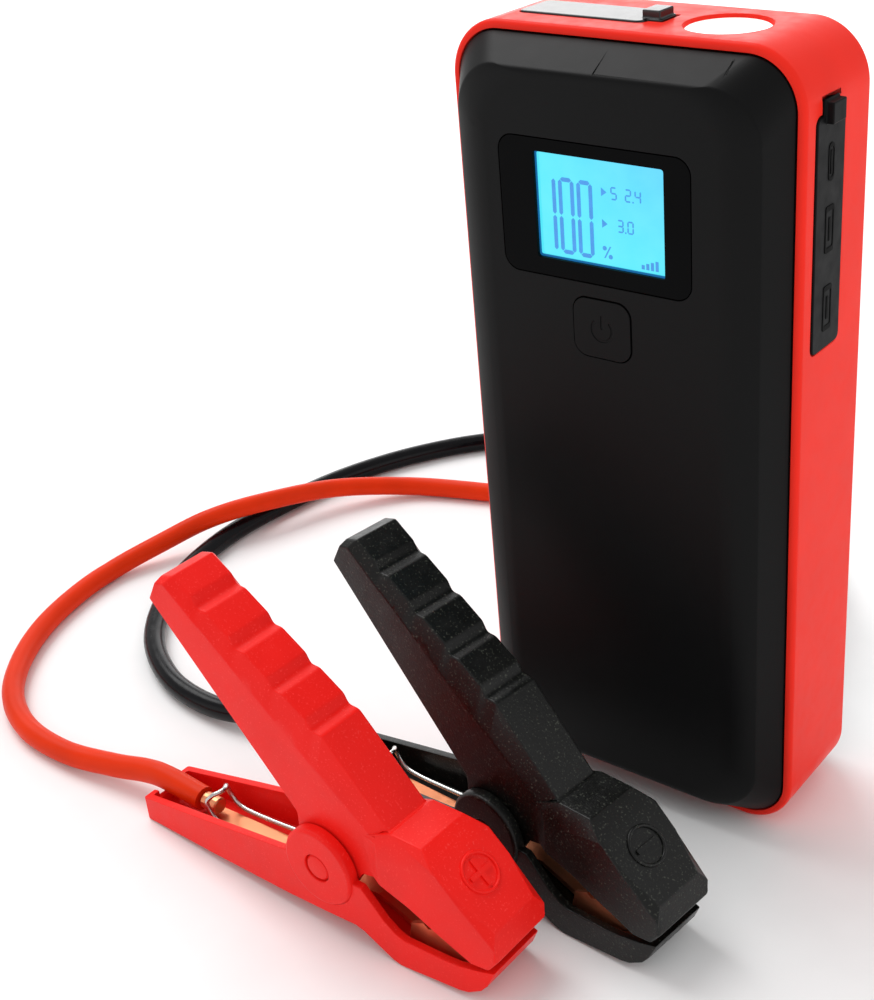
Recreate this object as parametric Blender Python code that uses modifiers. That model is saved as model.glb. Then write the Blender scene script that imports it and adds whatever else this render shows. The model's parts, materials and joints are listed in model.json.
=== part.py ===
"""Jump starter pack: a lithium booster with a lit display, port covers, a lamp and a pair of
plug-in battery clamps.

Metres, +Z up. The origin is the middle of the base. The display faces -Y and +X is the pack's
right-hand side, where the port cover is.
"""

import math
from collections import namedtuple

import bmesh
import bpy
from mathutils import Euler, Matrix, Vector

MM = 0.001
GAP = 0.3 * MM  # between pieces that touch

# --- pack -----------------------------------------------------------------
PACK_W = 83 * MM
PACK_H = 181.5 * MM
BAND_D = 28 * MM
CORNER_R = 12.5 * MM
BAND_WALL = 1.8 * MM
COVER_WALL = 2.0 * MM
FRONT_BULGE = 8.5 * MM
BACK_BULGE = 4.0 * MM
SKIRT = 3.0 * MM  # how far each cover reaches into the band

BAND_FRONT = -BAND_D / 2
BAND_BACK = BAND_D / 2
FACE_Y = BAND_FRONT - FRONT_BULGE  # flat of the front cover
REAR_Y = BAND_BACK + BACK_BULGE  # flat of the back cover
INNER_X = PACK_W / 2 - BAND_WALL

# --- front panel ----------------------------------------------------------
WINDOW_W, WINDOW_H, WINDOW_R = 45.6 * MM, 29 * MM, 3.5 * MM
WINDOW_X, WINDOW_Z = -1.2 * MM, 146.4 * MM
LCD_W, LCD_H = 31 * MM, 22.5 * MM
LCD_Z = 146.9 * MM
BUTTON_W, BUTTON_H, BUTTON_R = 14 * MM, 13 * MM, 3.2 * MM
BUTTON_Z = 122 * MM
BUTTON_TRAVEL = 0.8 * MM

# --- side and top ports ---------------------------------------------------
FLAP_T = 1.2 * MM
FLAP_W = 11.8 * MM
SIDE_FLAP_Y = -3.6 * MM
SIDE_FLAP_Z = (118.5 * MM, 167.5 * MM)
TOP_FLAP_X = (-30 * MM, 1 * MM)
TOP_FLAP_W = 11 * MM
TOP_Y = -0.5 * MM
LAMP_X = 17.5 * MM
LAMP_R = 9 * MM
USB_Z = (128 * MM, 144.5 * MM)
INPUT_Z = 158 * MM
DC_X = (-22 * MM, -8.5 * MM)

# --- jump socket and plug -------------------------------------------------
SOCKET_Z = 25 * MM
SOCKET_W, SOCKET_H = 23.4 * MM, 13 * MM
NOSE_W, NOSE_H = 18.8 * MM, 9.4 * MM
CONTACT_X = 4.8 * MM
PLUG_REAR = 36 * MM
BOOT_LENGTH = 12 * MM

# --- leads and clamps -----------------------------------------------------
CABLE_R = 3 * MM
PIVOT_S, PIVOT_H = 63.5 * MM, 17.4 * MM  # pivot from the lower lever's end, and above the floor
EAR_R = 9.7 * MM
EAR_OUT, EAR_IN = 11 * MM, 8 * MM
LEVER_HALF, NOSE_HALF = 7.7 * MM, 9.2 * MM
JAW_W, JAW_INNER_W = 13 * MM, 10.8 * MM
TOOTH_DEPTH = 0.9  # in millimetres, like the outlines of the clamps
PIN_BORE_R = 2.3 * MM
CLAMPS = {
    # pivot's place on the floor, heading of the jaws in degrees
    "red": ((-29.9 * MM, -85.6 * MM), -1.3),
    "black": ((-4.9 * MM, -57.1 * MM), -6.6),
}

# Where each lead lies: points by hand, in millimetres, from the plug to the clamp.
ROUTES = {
    "red": [
        (-4.8, 33, 25), (-4.8, 45, 25), (-4.8, 55, 24.9), (-6.5, 66, 21), (-13, 79, 12),
        (-25, 89, 5), (-43, 94, 3), (-68, 93, 3), (-94, 88, 3), (-119, 81, 3), (-143, 71, 3.6),
        (-160, 52.5, 7), (-170.5, 30, 9.6), (-178, 14, 9.4), (-185, 0, 6), (-190, -19, 3),
        (-186, -42, 3), (-177, -61, 3), (-163.5, -76.5, 3), (-147, -85, 3),
        (-129, -87, 3.2), (-111.5, -85.4, 5), (-100.5, -84.2, 7), (-92.5, -84.2, 8),
        (-79.5, -84.5, 7.3),
    ],
    "black": [
        (4.8, 33, 25), (4.8, 45, 25), (4.8, 55, 25), (4, 68, 21), (-1, 86, 10.5),
        (-14, 107, 3.6), (-38, 125, 3), (-64, 132.5, 3), (-92, 133, 3), (-118, 126, 3),
        (-140.5, 112, 3), (-157, 91, 3), (-168, 66, 3), (-173, 39, 3), (-173.5, 13, 3),
        (-166.5, -13.5, 3), (-151, -36, 3), (-130.5, -49, 3), (-109.5, -52.6, 3.4), (-90, -50, 6),
        (-78.5, -48.9, 7.6), (-67, -49.8, 8), (-54.2, -51.4, 7.3),
    ],
}
POINT_SPACING = 2.2 * 2 * CABLE_R


# ---------------------------------------------------------------------------
# collections, materials and small builders
# ---------------------------------------------------------------------------
for old in list(bpy.data.objects):
    bpy.data.objects.remove(old, do_unlink=True)

parts = bpy.data.collections.new("jump_starter_pack")
cutters = bpy.data.collections.new("cutters")
for made in (parts, cutters):
    bpy.context.scene.collection.children.link(made)


def paint(name, colour, roughness, metallic=0.0):
    material = bpy.data.materials.new(name)
    material.use_nodes = True
    shader = material.node_tree.nodes["Principled BSDF"]
    shader.inputs["Base Color"].default_value = (*colour, 1)
    shader.inputs["Roughness"].default_value = roughness
    shader.inputs["Metallic"].default_value = metallic
    return material


def put(obj, name, material=None):
    """Name a piece and file it with the parts, or with the cutters when it has no material."""
    obj.name = obj.data.name = name
    for holder in list(obj.users_collection):
        holder.objects.unlink(obj)
    if material is None:
        cutters.objects.link(obj)
        obj.hide_render = True
        obj.display_type = "WIRE"
    else:
        parts.objects.link(obj)
        obj.data.materials.clear()
        obj.data.materials.append(material)
    return obj


def cut(obj, tool, operation="DIFFERENCE"):
    step = obj.modifiers.new(tool.name, "BOOLEAN")
    step.object = tool
    step.operation = operation
    return obj


def join(obj, tool):
    return cut(obj, tool, "UNION")


def soften(obj, width, segments=2, angle=40):
    step = obj.modifiers.new("edges", "BEVEL")
    step.width = width
    step.segments = segments
    step.limit_method = "ANGLE"
    step.angle_limit = math.radians(angle)
    return obj


def box(name, material, low, high, bevel=0.0):
    """A block between two corners, given in metres."""
    low, high = Vector(low), Vector(high)
    bpy.ops.mesh.primitive_cube_add(size=1, location=(low + high) / 2)
    obj = bpy.context.object
    obj.data.transform(Matrix.Diagonal((*(high - low), 1)))
    put(obj, name, material)
    return soften(obj, bevel) if bevel else obj


def cylinder(name, material, radius, start, end, sides=24):
    """A rod between two points."""
    start, end = Vector(start), Vector(end)
    bpy.ops.mesh.primitive_cylinder_add(vertices=sides, radius=radius, depth=(end - start).length)
    obj = bpy.context.object
    obj.location = (start + end) / 2
    obj.rotation_mode = "QUATERNION"
    obj.rotation_quaternion = (end - start).to_track_quat("Z", "Y")
    return put(obj, name, material)


def turned(name, material, profile, place, direction, sides=24):
    """A solid of revolution: (radius, height) pairs from the top down, about direction."""
    mesh = bpy.data.meshes.new(name)
    points = [(radius, 0, height) for radius, height in profile]
    mesh.from_pydata(points, [(i, i + 1) for i in range(len(points) - 1)], [])
    obj = bpy.data.objects.new(name, mesh)
    bpy.context.scene.collection.objects.link(obj)
    spin = obj.modifiers.new("turn", "SCREW")
    spin.steps = spin.render_steps = sides
    spin.use_merge_vertices = True
    spin.merge_threshold = 0.00001
    obj.location = place
    obj.rotation_mode = "QUATERNION"
    obj.rotation_quaternion = Vector(direction).to_track_quat("Z", "Y")
    return put(obj, name, material)


def from_curve(curve_obj, name, material):
    """The welded mesh of a curve object, which the mesh object then replaces."""
    bpy.context.view_layer.update()
    graph = bpy.context.evaluated_depsgraph_get()
    mesh = bpy.data.meshes.new_from_object(curve_obj.evaluated_get(graph))
    work = bmesh.new()
    work.from_mesh(mesh)
    bmesh.ops.remove_doubles(work, verts=work.verts, dist=0.000005)
    bmesh.ops.recalc_face_normals(work, faces=work.faces)
    work.to_mesh(mesh)
    work.free()
    obj = bpy.data.objects.new(name, mesh)
    obj.matrix_world = curve_obj.matrix_world.copy()
    bpy.context.scene.collection.objects.link(obj)
    bpy.data.objects.remove(curve_obj, do_unlink=True)
    return put(obj, name, material)


def plate(name, material, outline, thickness, matrix=Matrix()):
    """A flat outline in local XY, thickened equally to both sides of its plane."""
    curve = bpy.data.curves.new(name, "CURVE")
    curve.dimensions = "2D"
    curve.fill_mode = "BOTH"
    curve.extrude = thickness / 2
    spline = curve.splines.new("POLY")
    spline.points.add(len(outline) - 1)
    for point, (x, y) in zip(spline.points, outline):
        point.co = (x, y, 0, 1)
    spline.use_cyclic_u = True
    obj = bpy.data.objects.new(name, curve)
    bpy.context.scene.collection.objects.link(obj)
    obj.matrix_world = matrix
    return from_curve(obj, name, material)


def arc(centre, radius, first, last, steps):
    """Points on an arc, angles in degrees."""
    turn = [math.radians(first + (last - first) * i / steps) for i in range(steps + 1)]
    return [(centre[0] + radius * math.cos(t), centre[1] + radius * math.sin(t)) for t in turn]


def rounded(width, height, radius, centre=(0, 0), steps=5):
    """A rectangle with round corners, anticlockwise."""
    across, up = width / 2 - radius, height / 2 - radius
    outline = []
    for quarter, (sx, sy) in enumerate(((1, 1), (-1, 1), (-1, -1), (1, -1))):
        middle = (centre[0] + sx * across, centre[1] + sy * up)
        outline += arc(middle, radius, 90 * quarter, 90 * quarter + 90, steps)
    return outline


def facing(y):
    """Turns local XY into the plane of the display: local X stays, local Y goes up."""
    return Matrix.Translation((0, y, 0)) @ Matrix.Rotation(math.radians(90), 4, "X")


def slab(name, material, outline, y_low, y_high):
    """A plate of an XZ outline between two depths."""
    return plate(name, material, outline, y_high - y_low, facing((y_low + y_high) / 2))


def smooth_route(route, spacing):
    """Points evenly spaced on a smooth curve through the route's points."""
    ends = [2 * route[0] - route[1], *route, 2 * route[-1] - route[-2]]
    fine = []
    for a, b, c, d in zip(ends, ends[1:], ends[2:], ends[3:]):
        for i in range(12):
            t = i / 12
            fine.append(
                0.5 * (2 * b + (c - a) * t + (2 * a - 5 * b + 4 * c - d) * t**2
                       + (3 * b - a - 3 * c + d) * t**3)
            )
    fine.append(route[-1])
    walked = [0.0]
    for a, b in zip(fine, fine[1:]):
        walked.append(walked[-1] + (b - a).length)
    count = round(walked[-1] / spacing)
    out, k = [], 0
    for i in range(count + 1):
        goal = walked[-1] * i / count
        while k < len(fine) - 2 and walked[k + 1] < goal:
            k += 1
        share = (goal - walked[k]) / max(walked[k + 1] - walked[k], 1e-9)
        out.append(fine[k].lerp(fine[k + 1], min(share, 1)))
    return out


def wire(name, material, points, radius, resolution=2):
    """A round wire with closed ends through the given points."""
    curve = bpy.data.curves.new(name, "CURVE")
    curve.dimensions = "3D"
    curve.bevel_depth = radius
    curve.bevel_resolution = resolution
    curve.use_fill_caps = True
    spline = curve.splines.new("POLY")
    spline.points.add(len(points) - 1)
    for point, place in zip(spline.points, points):
        point.co = (*place, 1)
    obj = bpy.data.objects.new(name, curve)
    bpy.context.scene.collection.objects.link(obj)
    return put(obj, name, material)


RED_ABS = paint("red_abs", (0.85, 0.045, 0.025), 0.35)
BLACK_ABS = paint("black_abs", (0.018, 0.018, 0.019), 0.42)
GLOSS_BLACK = paint("gloss_black", (0.006, 0.006, 0.007), 0.08)
RUBBER = paint("black_rubber", (0.02, 0.02, 0.021), 0.7)
LCD_GLASS = paint("lcd_cyan", (0.12, 0.75, 0.9), 0.15)
WHITE_PLASTIC = paint("white_plastic", (0.85, 0.86, 0.85), 0.4)
BOARD = paint("circuit_board", (0.02, 0.16, 0.06), 0.5)
CELL = paint("cell_foil", (0.45, 0.47, 0.5), 0.35, 0.8)
FOAM = paint("foam", (0.12, 0.12, 0.13), 0.95)
STEEL = paint("steel", (0.62, 0.62, 0.6), 0.28, 1.0)
COPPER = paint("copper", (0.72, 0.3, 0.15), 0.3, 1.0)
BRASS = paint("gold_contact", (0.83, 0.62, 0.25), 0.25, 1.0)
CLEAR = paint("lamp_lens", (0.86, 0.88, 0.9), 0.08)
MIRROR = paint("reflector", (0.85, 0.85, 0.86), 0.12, 1.0)
CLAMP_PAINT = {
    "red": paint("clamp_red", (0.85, 0.03, 0.02), 0.42),
    "black": paint("clamp_black", (0.03, 0.03, 0.032), 0.45),
}
JACKET = {
    "red": paint("cable_red", (0.78, 0.09, 0.02), 0.38),
    "black": paint("cable_black", (0.012, 0.012, 0.013), 0.35),
}


# ---------------------------------------------------------------------------
# casing
# ---------------------------------------------------------------------------
def pack_outline(inset, steps=6):
    """The pack's front outline, pulled in all round."""
    return rounded(
        PACK_W - 2 * inset, PACK_H - 2 * inset, CORNER_R - inset, (0, PACK_H / 2), steps
    )


def mid_frame():
    """The red band between the covers, with its port pockets and the lamp's hole."""
    band = slab("mid_frame", RED_ABS, pack_outline(0), BAND_FRONT, BAND_BACK)
    hollow = slab("band_hollow", None, pack_outline(BAND_WALL), 2 * BAND_FRONT, 2 * BAND_BACK)
    cut(band, hollow)
    side_x = PACK_W / 2
    pad = 2.0 * MM
    side_low, side_high = SIDE_FLAP_Z
    join(band, box("side_pad", None,
                   (INNER_X - pad, SIDE_FLAP_Y - 7.1 * MM, side_low - 4 * MM),
                   (INNER_X + 0.2 * MM, SIDE_FLAP_Y + 7.1 * MM, side_high + 4.6 * MM)))
    top_inner = PACK_H - BAND_WALL
    join(band, box("top_pad", None,
                   (TOP_FLAP_X[0] + 2 * MM, TOP_Y - 9.9 * MM, top_inner - pad),
                   (LAMP_X + LAMP_R + 1.6 * MM, TOP_Y + 9.9 * MM, top_inner + 0.2 * MM)))
    pocket = FLAP_T + 0.1 * MM
    cut(band, box("side_pocket", None,
                  (side_x - pocket, SIDE_FLAP_Y - FLAP_W / 2 - GAP, side_low - GAP),
                  (side_x + 5 * MM, SIDE_FLAP_Y + FLAP_W / 2 + GAP, side_high + GAP)))
    cut(band, box("side_finger_notch", None,
                  (side_x - pocket, SIDE_FLAP_Y - 3.6 * MM, side_high - MM),
                  (side_x + 5 * MM, SIDE_FLAP_Y + 3.6 * MM, side_high + 3.6 * MM)))
    cut(band, box("top_pocket", None,
                  (TOP_FLAP_X[0] - GAP, TOP_Y - TOP_FLAP_W / 2 - GAP, PACK_H - pocket),
                  (TOP_FLAP_X[1] + GAP, TOP_Y + TOP_FLAP_W / 2 + GAP, PACK_H + 5 * MM)))
    cut(band, box("top_finger_notch", None,
                  (TOP_FLAP_X[1] - MM, TOP_Y - 3.6 * MM, PACK_H - pocket),
                  (TOP_FLAP_X[1] + 3.6 * MM, TOP_Y + 3.6 * MM, PACK_H + 5 * MM)))
    cut(band, cylinder("lamp_hole", None, LAMP_R, (LAMP_X, TOP_Y, PACK_H - 8 * MM),
                       (LAMP_X, TOP_Y, PACK_H + 5 * MM), 32))
    for i, z in enumerate(USB_Z):
        cut(band, box(f"usb_hole_{i}", None,
                      (INNER_X - 5 * MM, SIDE_FLAP_Y - 3.2 * MM, z - 6.9 * MM),
                      (side_x, SIDE_FLAP_Y + 3.2 * MM, z + 6.9 * MM)))
    cut(band, box("input_hole", None,
                  (INNER_X - 5 * MM, SIDE_FLAP_Y - 2.1 * MM, INPUT_Z - 4.9 * MM),
                  (side_x, SIDE_FLAP_Y + 2.1 * MM, INPUT_Z + 4.9 * MM)))
    for i, x in enumerate(DC_X):
        cut(band, cylinder(f"dc_hole_{i}", None, 4.2 * MM, (x, TOP_Y, PACK_H - 8 * MM),
                           (x, TOP_Y, PACK_H), 20))


COVER_INSET = BAND_WALL + GAP
CORNER_STEPS = 6
Ring = namedtuple("Ring", "side end side_rise end_rise radius")


def cover_ring(ring, edge_y, outward):
    """One outline of a cover, in mm: how far in and how far out it is on the sides and the ends."""
    half_w = PACK_W / 2 - COVER_INSET - ring.side * MM
    half_h = PACK_H / 2 - COVER_INSET - ring.end * MM
    outline = rounded(2 * half_w, 2 * half_h, ring.radius * MM, (0, PACK_H / 2), CORNER_STEPS)
    points = []
    for i, (x, z) in enumerate(outline):
        quarter, step = divmod(i, CORNER_STEPS + 1)
        turned_up = step / CORNER_STEPS if quarter % 2 == 0 else 1 - step / CORNER_STEPS
        rise = ring.side_rise + (ring.end_rise - ring.side_rise) * turned_up
        points.append((x, edge_y + outward * rise * MM, z))
    return points


def cover_shell(name, material, rings, edge_y, outward):
    """An open lofted cover: rings from its skirt to the edge of its flat, then the flat."""
    work = bmesh.new()
    loops = [[work.verts.new(p) for p in cover_ring(ring, edge_y, outward)] for ring in rings]
    for a, b in zip(loops, loops[1:]):
        for i in range(len(a)):
            j = (i + 1) % len(a)
            work.faces.new((a[i], a[j], b[j], b[i]) if outward < 0 else (a[i], b[i], b[j], a[j]))
    work.faces.new(loops[-1] if outward < 0 else loops[-1][::-1])
    mesh = bpy.data.meshes.new(name)
    work.to_mesh(mesh)
    work.free()
    obj = bpy.data.objects.new(name, mesh)
    bpy.context.scene.collection.objects.link(obj)
    wall = obj.modifiers.new("wall", "SOLIDIFY")
    wall.thickness = COVER_WALL
    wall.offset = -1
    wall.use_even_offset = True
    return put(obj, name, material)


POSTS = [(sx * 29 * MM, z) for sx in (-1, 1) for z in (14 * MM, 166 * MM)]
POST_END = REAR_Y - 8.25 * MM  # where the front cover's posts meet the back cover's screw seats
SCREW_Y = REAR_Y - 2.55 * MM  # top of the screws' heads, in the back cover's recesses


def front_cover():
    """Display-side cover: a sloping edge all round, then sides that curve back from the flat."""
    rise, skirt = FRONT_BULGE / MM, SKIRT / MM
    rings = [
        Ring(0, 0, -skirt, -skirt, 10.4), Ring(0, 0, 0, 0, 10.4), Ring(3.6, 4.2, 6.0, 7.8, 12),
        Ring(5.4, 4.8, 7.0, 8.1, 12), Ring(8.0, 5.6, 8.0, 8.4, 12.3), Ring(12, 6.4, rise, rise, 13),
    ]
    cover = cover_shell("front_cover", BLACK_ABS, rings, BAND_FRONT, -1)
    inner = FACE_Y + COVER_WALL
    for i, (x, z) in enumerate(POSTS):
        post = cylinder(f"post_{i}", None, 3.6 * MM, (x, inner - 0.3 * MM, z), (x, POST_END, z), 16)
        join(cover, post)
        cut(cover, cylinder(f"pilot_{i}", None, 1.6 * MM, (x, -8 * MM, z), (x, 20 * MM, z), 12))
    ledge = 1.2 * MM
    pocket = rounded(WINDOW_W + 2 * GAP, WINDOW_H + 2 * GAP, WINDOW_R + GAP, (WINDOW_X, WINDOW_Z))
    cut(cover, slab("window_pocket", None, pocket, FACE_Y - 5 * MM, FACE_Y + ledge))
    opening = rounded(LCD_W + 7 * MM, LCD_H + 3.8 * MM, MM, (0, LCD_Z), 2)
    cut(cover, slab("window_opening", None, opening, FACE_Y, FACE_Y + 5 * MM))
    hole = rounded(BUTTON_W + 2 * GAP, BUTTON_H + 2 * GAP, BUTTON_R + GAP, (0, BUTTON_Z))
    cut(cover, slab("button_hole", None, hole, FACE_Y - 5 * MM, FACE_Y + 5 * MM))


def back_cover():
    """Rear cover with the jump socket's mouth and four screw seats."""
    rise, skirt = BACK_BULGE / MM, SKIRT / MM
    rings = [
        Ring(0, 0, -skirt, -skirt, 10.4), Ring(0, 0, 0, 0, 10.4), Ring(1.0, 1.0, 2.2, 2.2, 10.1),
        Ring(2.2, 2.2, 3.4, 3.4, 9.7), Ring(4.2, 4.2, rise, rise, 9.1),
    ]
    cover = cover_shell("back_cover", BLACK_ABS, rings, BAND_BACK, 1)
    mouth = rounded(SOCKET_W + 2 * GAP, SOCKET_H + 2 * GAP, 2 * MM, (0, SOCKET_Z), 3)
    cut(cover, slab("socket_mouth", None, mouth, 10 * MM, 30 * MM))
    for i, (x, z) in enumerate(POSTS):
        seat = cylinder(f"screw_seat_{i}", None, 4.4 * MM, (x, POST_END + 0.6 * MM, z),
                        (x, REAR_Y - 0.4 * MM, z), 16)
        join(cover, seat)
        cut(cover, cylinder(f"screw_recess_{i}", None, 3.0 * MM, (x, SCREW_Y - 2.3 * MM, z),
                            (x, 30 * MM, z), 16))
        cut(cover, cylinder(f"screw_way_{i}", None, 1.6 * MM, (x, 5 * MM, z),
                            (x, 30 * MM, z), 12))


def case_screws():
    """Four long screws through the back cover into the front cover's posts."""
    head = [(0, 0), (1.9, 0), (2.6, -0.6), (2.6, -1.6), (1.25, -1.9), (1.25, -19.2), (0, -20)]
    profile = [(r * MM, z * MM) for r, z in head]
    for i, (x, z) in enumerate(POSTS):
        turned(f"case_screw_{i + 1}", STEEL, profile, (x, SCREW_Y, z), (0, 1, 0), 12)


# ---------------------------------------------------------------------------
# front panel pieces
# ---------------------------------------------------------------------------
def display():
    window = slab("display_window", GLOSS_BLACK,
                  rounded(WINDOW_W, WINDOW_H, WINDOW_R, (WINDOW_X, WINDOW_Z)), FACE_Y,
                  FACE_Y + 0.9 * MM)
    cut(window, slab("window_hole", None, rounded(LCD_W, LCD_H, 0.6 * MM, (0, LCD_Z), 2),
                     FACE_Y - MM, FACE_Y + 2 * MM))
    half_w, half_h = LCD_W / 2 + 3 * MM, LCD_H / 2 + 1.4 * MM
    front = FACE_Y + 1.2 * MM
    for name, material, start, deep, trim in (
        ("lcd_panel", LCD_GLASS, 0.0, 2.0, 0.0), ("lcd_backlight", WHITE_PLASTIC, 2.3, 2.4, 0.5)
    ):
        box(name, material,
            (-half_w + trim * MM, front + start * MM, LCD_Z - half_h + trim * MM),
            (half_w - trim * MM, front + (start + deep) * MM, LCD_Z + half_h - trim * MM), 0.3 * MM)


def power_button():
    """The start button: a cap, a flange that keeps it in and a stem over the switch."""
    cap_y = FACE_Y - 0.2 * MM
    flange_y = FACE_Y + COVER_WALL + GAP
    cap = slab("power_button", BLACK_ABS, rounded(BUTTON_W, BUTTON_H, BUTTON_R, (0, BUTTON_Z)),
               cap_y, flange_y + 0.4 * MM)
    flange = rounded(BUTTON_W + 2.4 * MM, BUTTON_H + 2.4 * MM, BUTTON_R + MM, (0, BUTTON_Z), 3)
    join(cap, slab("button_flange", None, flange, flange_y, flange_y + MM))
    join(cap, cylinder("button_stem", None, 2 * MM, (0, flange_y + 0.5 * MM, BUTTON_Z),
                       (0, FACE_Y + 3.45 * MM, BUTTON_Z), 16))


def boards():
    """Circuit boards with the parts that show where each function sits."""
    display_back = FACE_Y + 7.55 * MM
    display_front = display_back - 1.4 * MM
    box("display_board", BOARD, (-24 * MM, display_front, 112 * MM), (24 * MM, display_back, 162 * MM))
    switch = box("power_switch", BLACK_ABS,
                 (-3 * MM, display_front - 1.4 * MM, BUTTON_Z - 3 * MM),
                 (3 * MM, display_front - GAP, BUTTON_Z + 3 * MM), 0.2 * MM)
    join(switch, cylinder("switch_plunger", None, 1.6 * MM, (0, display_front - MM, BUTTON_Z),
                          (0, display_front - 1.7 * MM, BUTTON_Z), 12))
    board_y = SIDE_FLAP_Y - 3.1 * MM  # the port sockets' backs stand on the main board
    box("main_board", BOARD, (-26 * MM, board_y - 1.7 * MM, 113 * MM),
        (INNER_X - 3 * MM, board_y - 0.1 * MM, 161 * MM))
    box("converter_coil", BLACK_ABS, (-18 * MM, board_y + GAP, 118 * MM),
        (-6 * MM, board_y + 6 * MM, 130 * MM), 1.0 * MM)
    box("power_board", BOARD, (-24.5 * MM, -9 * MM, 8 * MM), (22 * MM, -7.4 * MM, 37 * MM))
    box("jump_relay", BLACK_ABS, (-22 * MM, -7.1 * MM, 10 * MM), (-13.4 * MM, 6 * MM, 34 * MM),
        0.4 * MM)


def battery():
    """Four pouch cells in series, in a plastic tray, held forward of the back by foam."""
    cell_w, cell_h, cell_t, pitch = 66 * MM, 64 * MM, 6.6 * MM, 7 * MM
    low_z, first_y = 42 * MM, -14.4 * MM
    for i in range(4):
        y = first_y + i * pitch
        box(f"battery_cell_{i + 1}", CELL, (-cell_w / 2, y, low_z),
            (cell_w / 2, y + cell_t, low_z + cell_h), 1.2 * MM)
    middle = (0, low_z + cell_h / 2)
    tray = slab("battery_tray", BLACK_ABS, rounded(cell_w + 4.2 * MM, cell_h + 4.2 * MM, 2 * MM,
                                                   middle, 2), first_y, 14 * MM)
    cut(tray, slab("tray_hollow", None, rounded(cell_w + MM, cell_h + MM, MM, middle, 2),
                   first_y - MM, 20 * MM))
    box("foam_pad", FOAM, (-27 * MM, FACE_Y + 2.6 * MM, 46 * MM),
        (27 * MM, first_y - 0.4 * MM, 102 * MM), MM)


# ---------------------------------------------------------------------------
# ports, covers and lamp
# ---------------------------------------------------------------------------
def port_sockets():
    mouth = PACK_W / 2 - FLAP_T - 0.6 * MM
    for i, z in enumerate(USB_Z):
        y = SIDE_FLAP_Y
        shell = box(f"usb_socket_{i + 1}", STEEL, (mouth - 13.6 * MM, y - 2.9 * MM, z - 6.6 * MM),
                    (mouth, y + 2.9 * MM, z + 6.6 * MM))
        cut(shell, box(f"usb_cavity_{i}", None, (mouth - 12.6 * MM, y - 2.5 * MM, z - 6.1 * MM),
                       (mouth + MM, y + 2.5 * MM, z + 6.1 * MM)))
        join(shell, box(f"usb_tongue_{i}", None, (mouth - 13 * MM, y - 2 * MM, z - 5.4 * MM),
                        (mouth - 1.2 * MM, y - 0.2 * MM, z + 5.4 * MM)))
    y = SIDE_FLAP_Y
    port = box("input_socket", STEEL, (mouth - 9 * MM, y - 1.75 * MM, INPUT_Z - 4.5 * MM),
               (mouth, y + 1.75 * MM, INPUT_Z + 4.5 * MM), 0.8 * MM)
    cut(port, box("input_cavity", None, (mouth - 7 * MM, y - 1.3 * MM, INPUT_Z - 4 * MM),
                  (mouth + MM, y + 1.3 * MM, INPUT_Z + 4 * MM)))
    join(port, box("input_tongue", None, (mouth - 7.5 * MM, y - 0.35 * MM, INPUT_Z - 3.2 * MM),
                   (mouth - 0.8 * MM, y + 0.35 * MM, INPUT_Z + 3.2 * MM)))
    top = PACK_H - FLAP_T - 0.6 * MM
    for i, x in enumerate(DC_X):
        barrel = [(0, 0), (3.8 * MM, 0), (3.8 * MM, -8 * MM), (0, -8 * MM)]
        jack = turned(f"dc_socket_{i + 1}", BLACK_ABS, barrel, (x, TOP_Y, top), (0, 0, 1), 20)
        cut(jack, cylinder(f"dc_cavity_{i}", None, 2.8 * MM, (x, TOP_Y, top - 7 * MM),
                           (x, TOP_Y, top + MM), 16))
        join(jack, cylinder(f"dc_pin_{i}", None, 1.0 * MM, (x, TOP_Y, top - 7.5 * MM),
                            (x, TOP_Y, top - 2 * MM), 10))


def side_flap():
    """Rubber cover over the side ports. It swings out about its lower end."""
    low, high = SIDE_FLAP_Z
    across = FLAP_W / 2
    outer = PACK_W / 2 + 0.3 * MM
    turn = Matrix.Translation((outer - FLAP_T / 2, SIDE_FLAP_Y, 0)) @ Euler(
        (math.radians(90), 0, math.radians(90))).to_matrix().to_4x4()
    outline = ([(-across, low + 0.8 * MM), (across, low + 0.8 * MM)]
               + arc((across - 1.5 * MM, high - 1.5 * MM), 1.5 * MM, 0, 90, 3)
               + [(3.2 * MM, high), (3.2 * MM, high + 3 * MM), (-3.2 * MM, high + 3 * MM),
                  (-3.2 * MM, high)]
               + arc((-across + 1.5 * MM, high - 1.5 * MM), 1.5 * MM, 90, 180, 3))
    flap = plate("side_port_cover", RUBBER, outline, FLAP_T, turn)
    join(flap, box("side_pull", None, (outer - 0.6 * MM, SIDE_FLAP_Y - 2.7 * MM, high - 1.6 * MM),
                   (outer + 1.6 * MM, SIDE_FLAP_Y + 2.7 * MM, high + 2.6 * MM)))


def top_flap():
    """Rubber cover over the two outlets on top. It lifts about its left end."""
    low, high = TOP_FLAP_X
    across = TOP_FLAP_W / 2
    outer = PACK_H + 0.3 * MM
    outline = ([(low + 0.8 * MM, across), (low + 0.8 * MM, -across)]
               + arc((high - 1.5 * MM, -across + 1.5 * MM), 1.5 * MM, -90, 0, 3)
               + [(high, -3.2 * MM), (high + 3 * MM, -3.2 * MM), (high + 3 * MM, 3.2 * MM),
                  (high, 3.2 * MM)]
               + arc((high - 1.5 * MM, across - 1.5 * MM), 1.5 * MM, 0, 90, 3))
    flap = plate("top_port_cover", RUBBER, outline, FLAP_T,
                 Matrix.Translation((0, TOP_Y, outer - FLAP_T / 2)))
    join(flap, box("top_pull", None, (high - 1.6 * MM, TOP_Y - 2.7 * MM, outer - 0.6 * MM),
                   (high + 2.6 * MM, TOP_Y + 2.7 * MM, outer + 1.6 * MM)))


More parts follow.
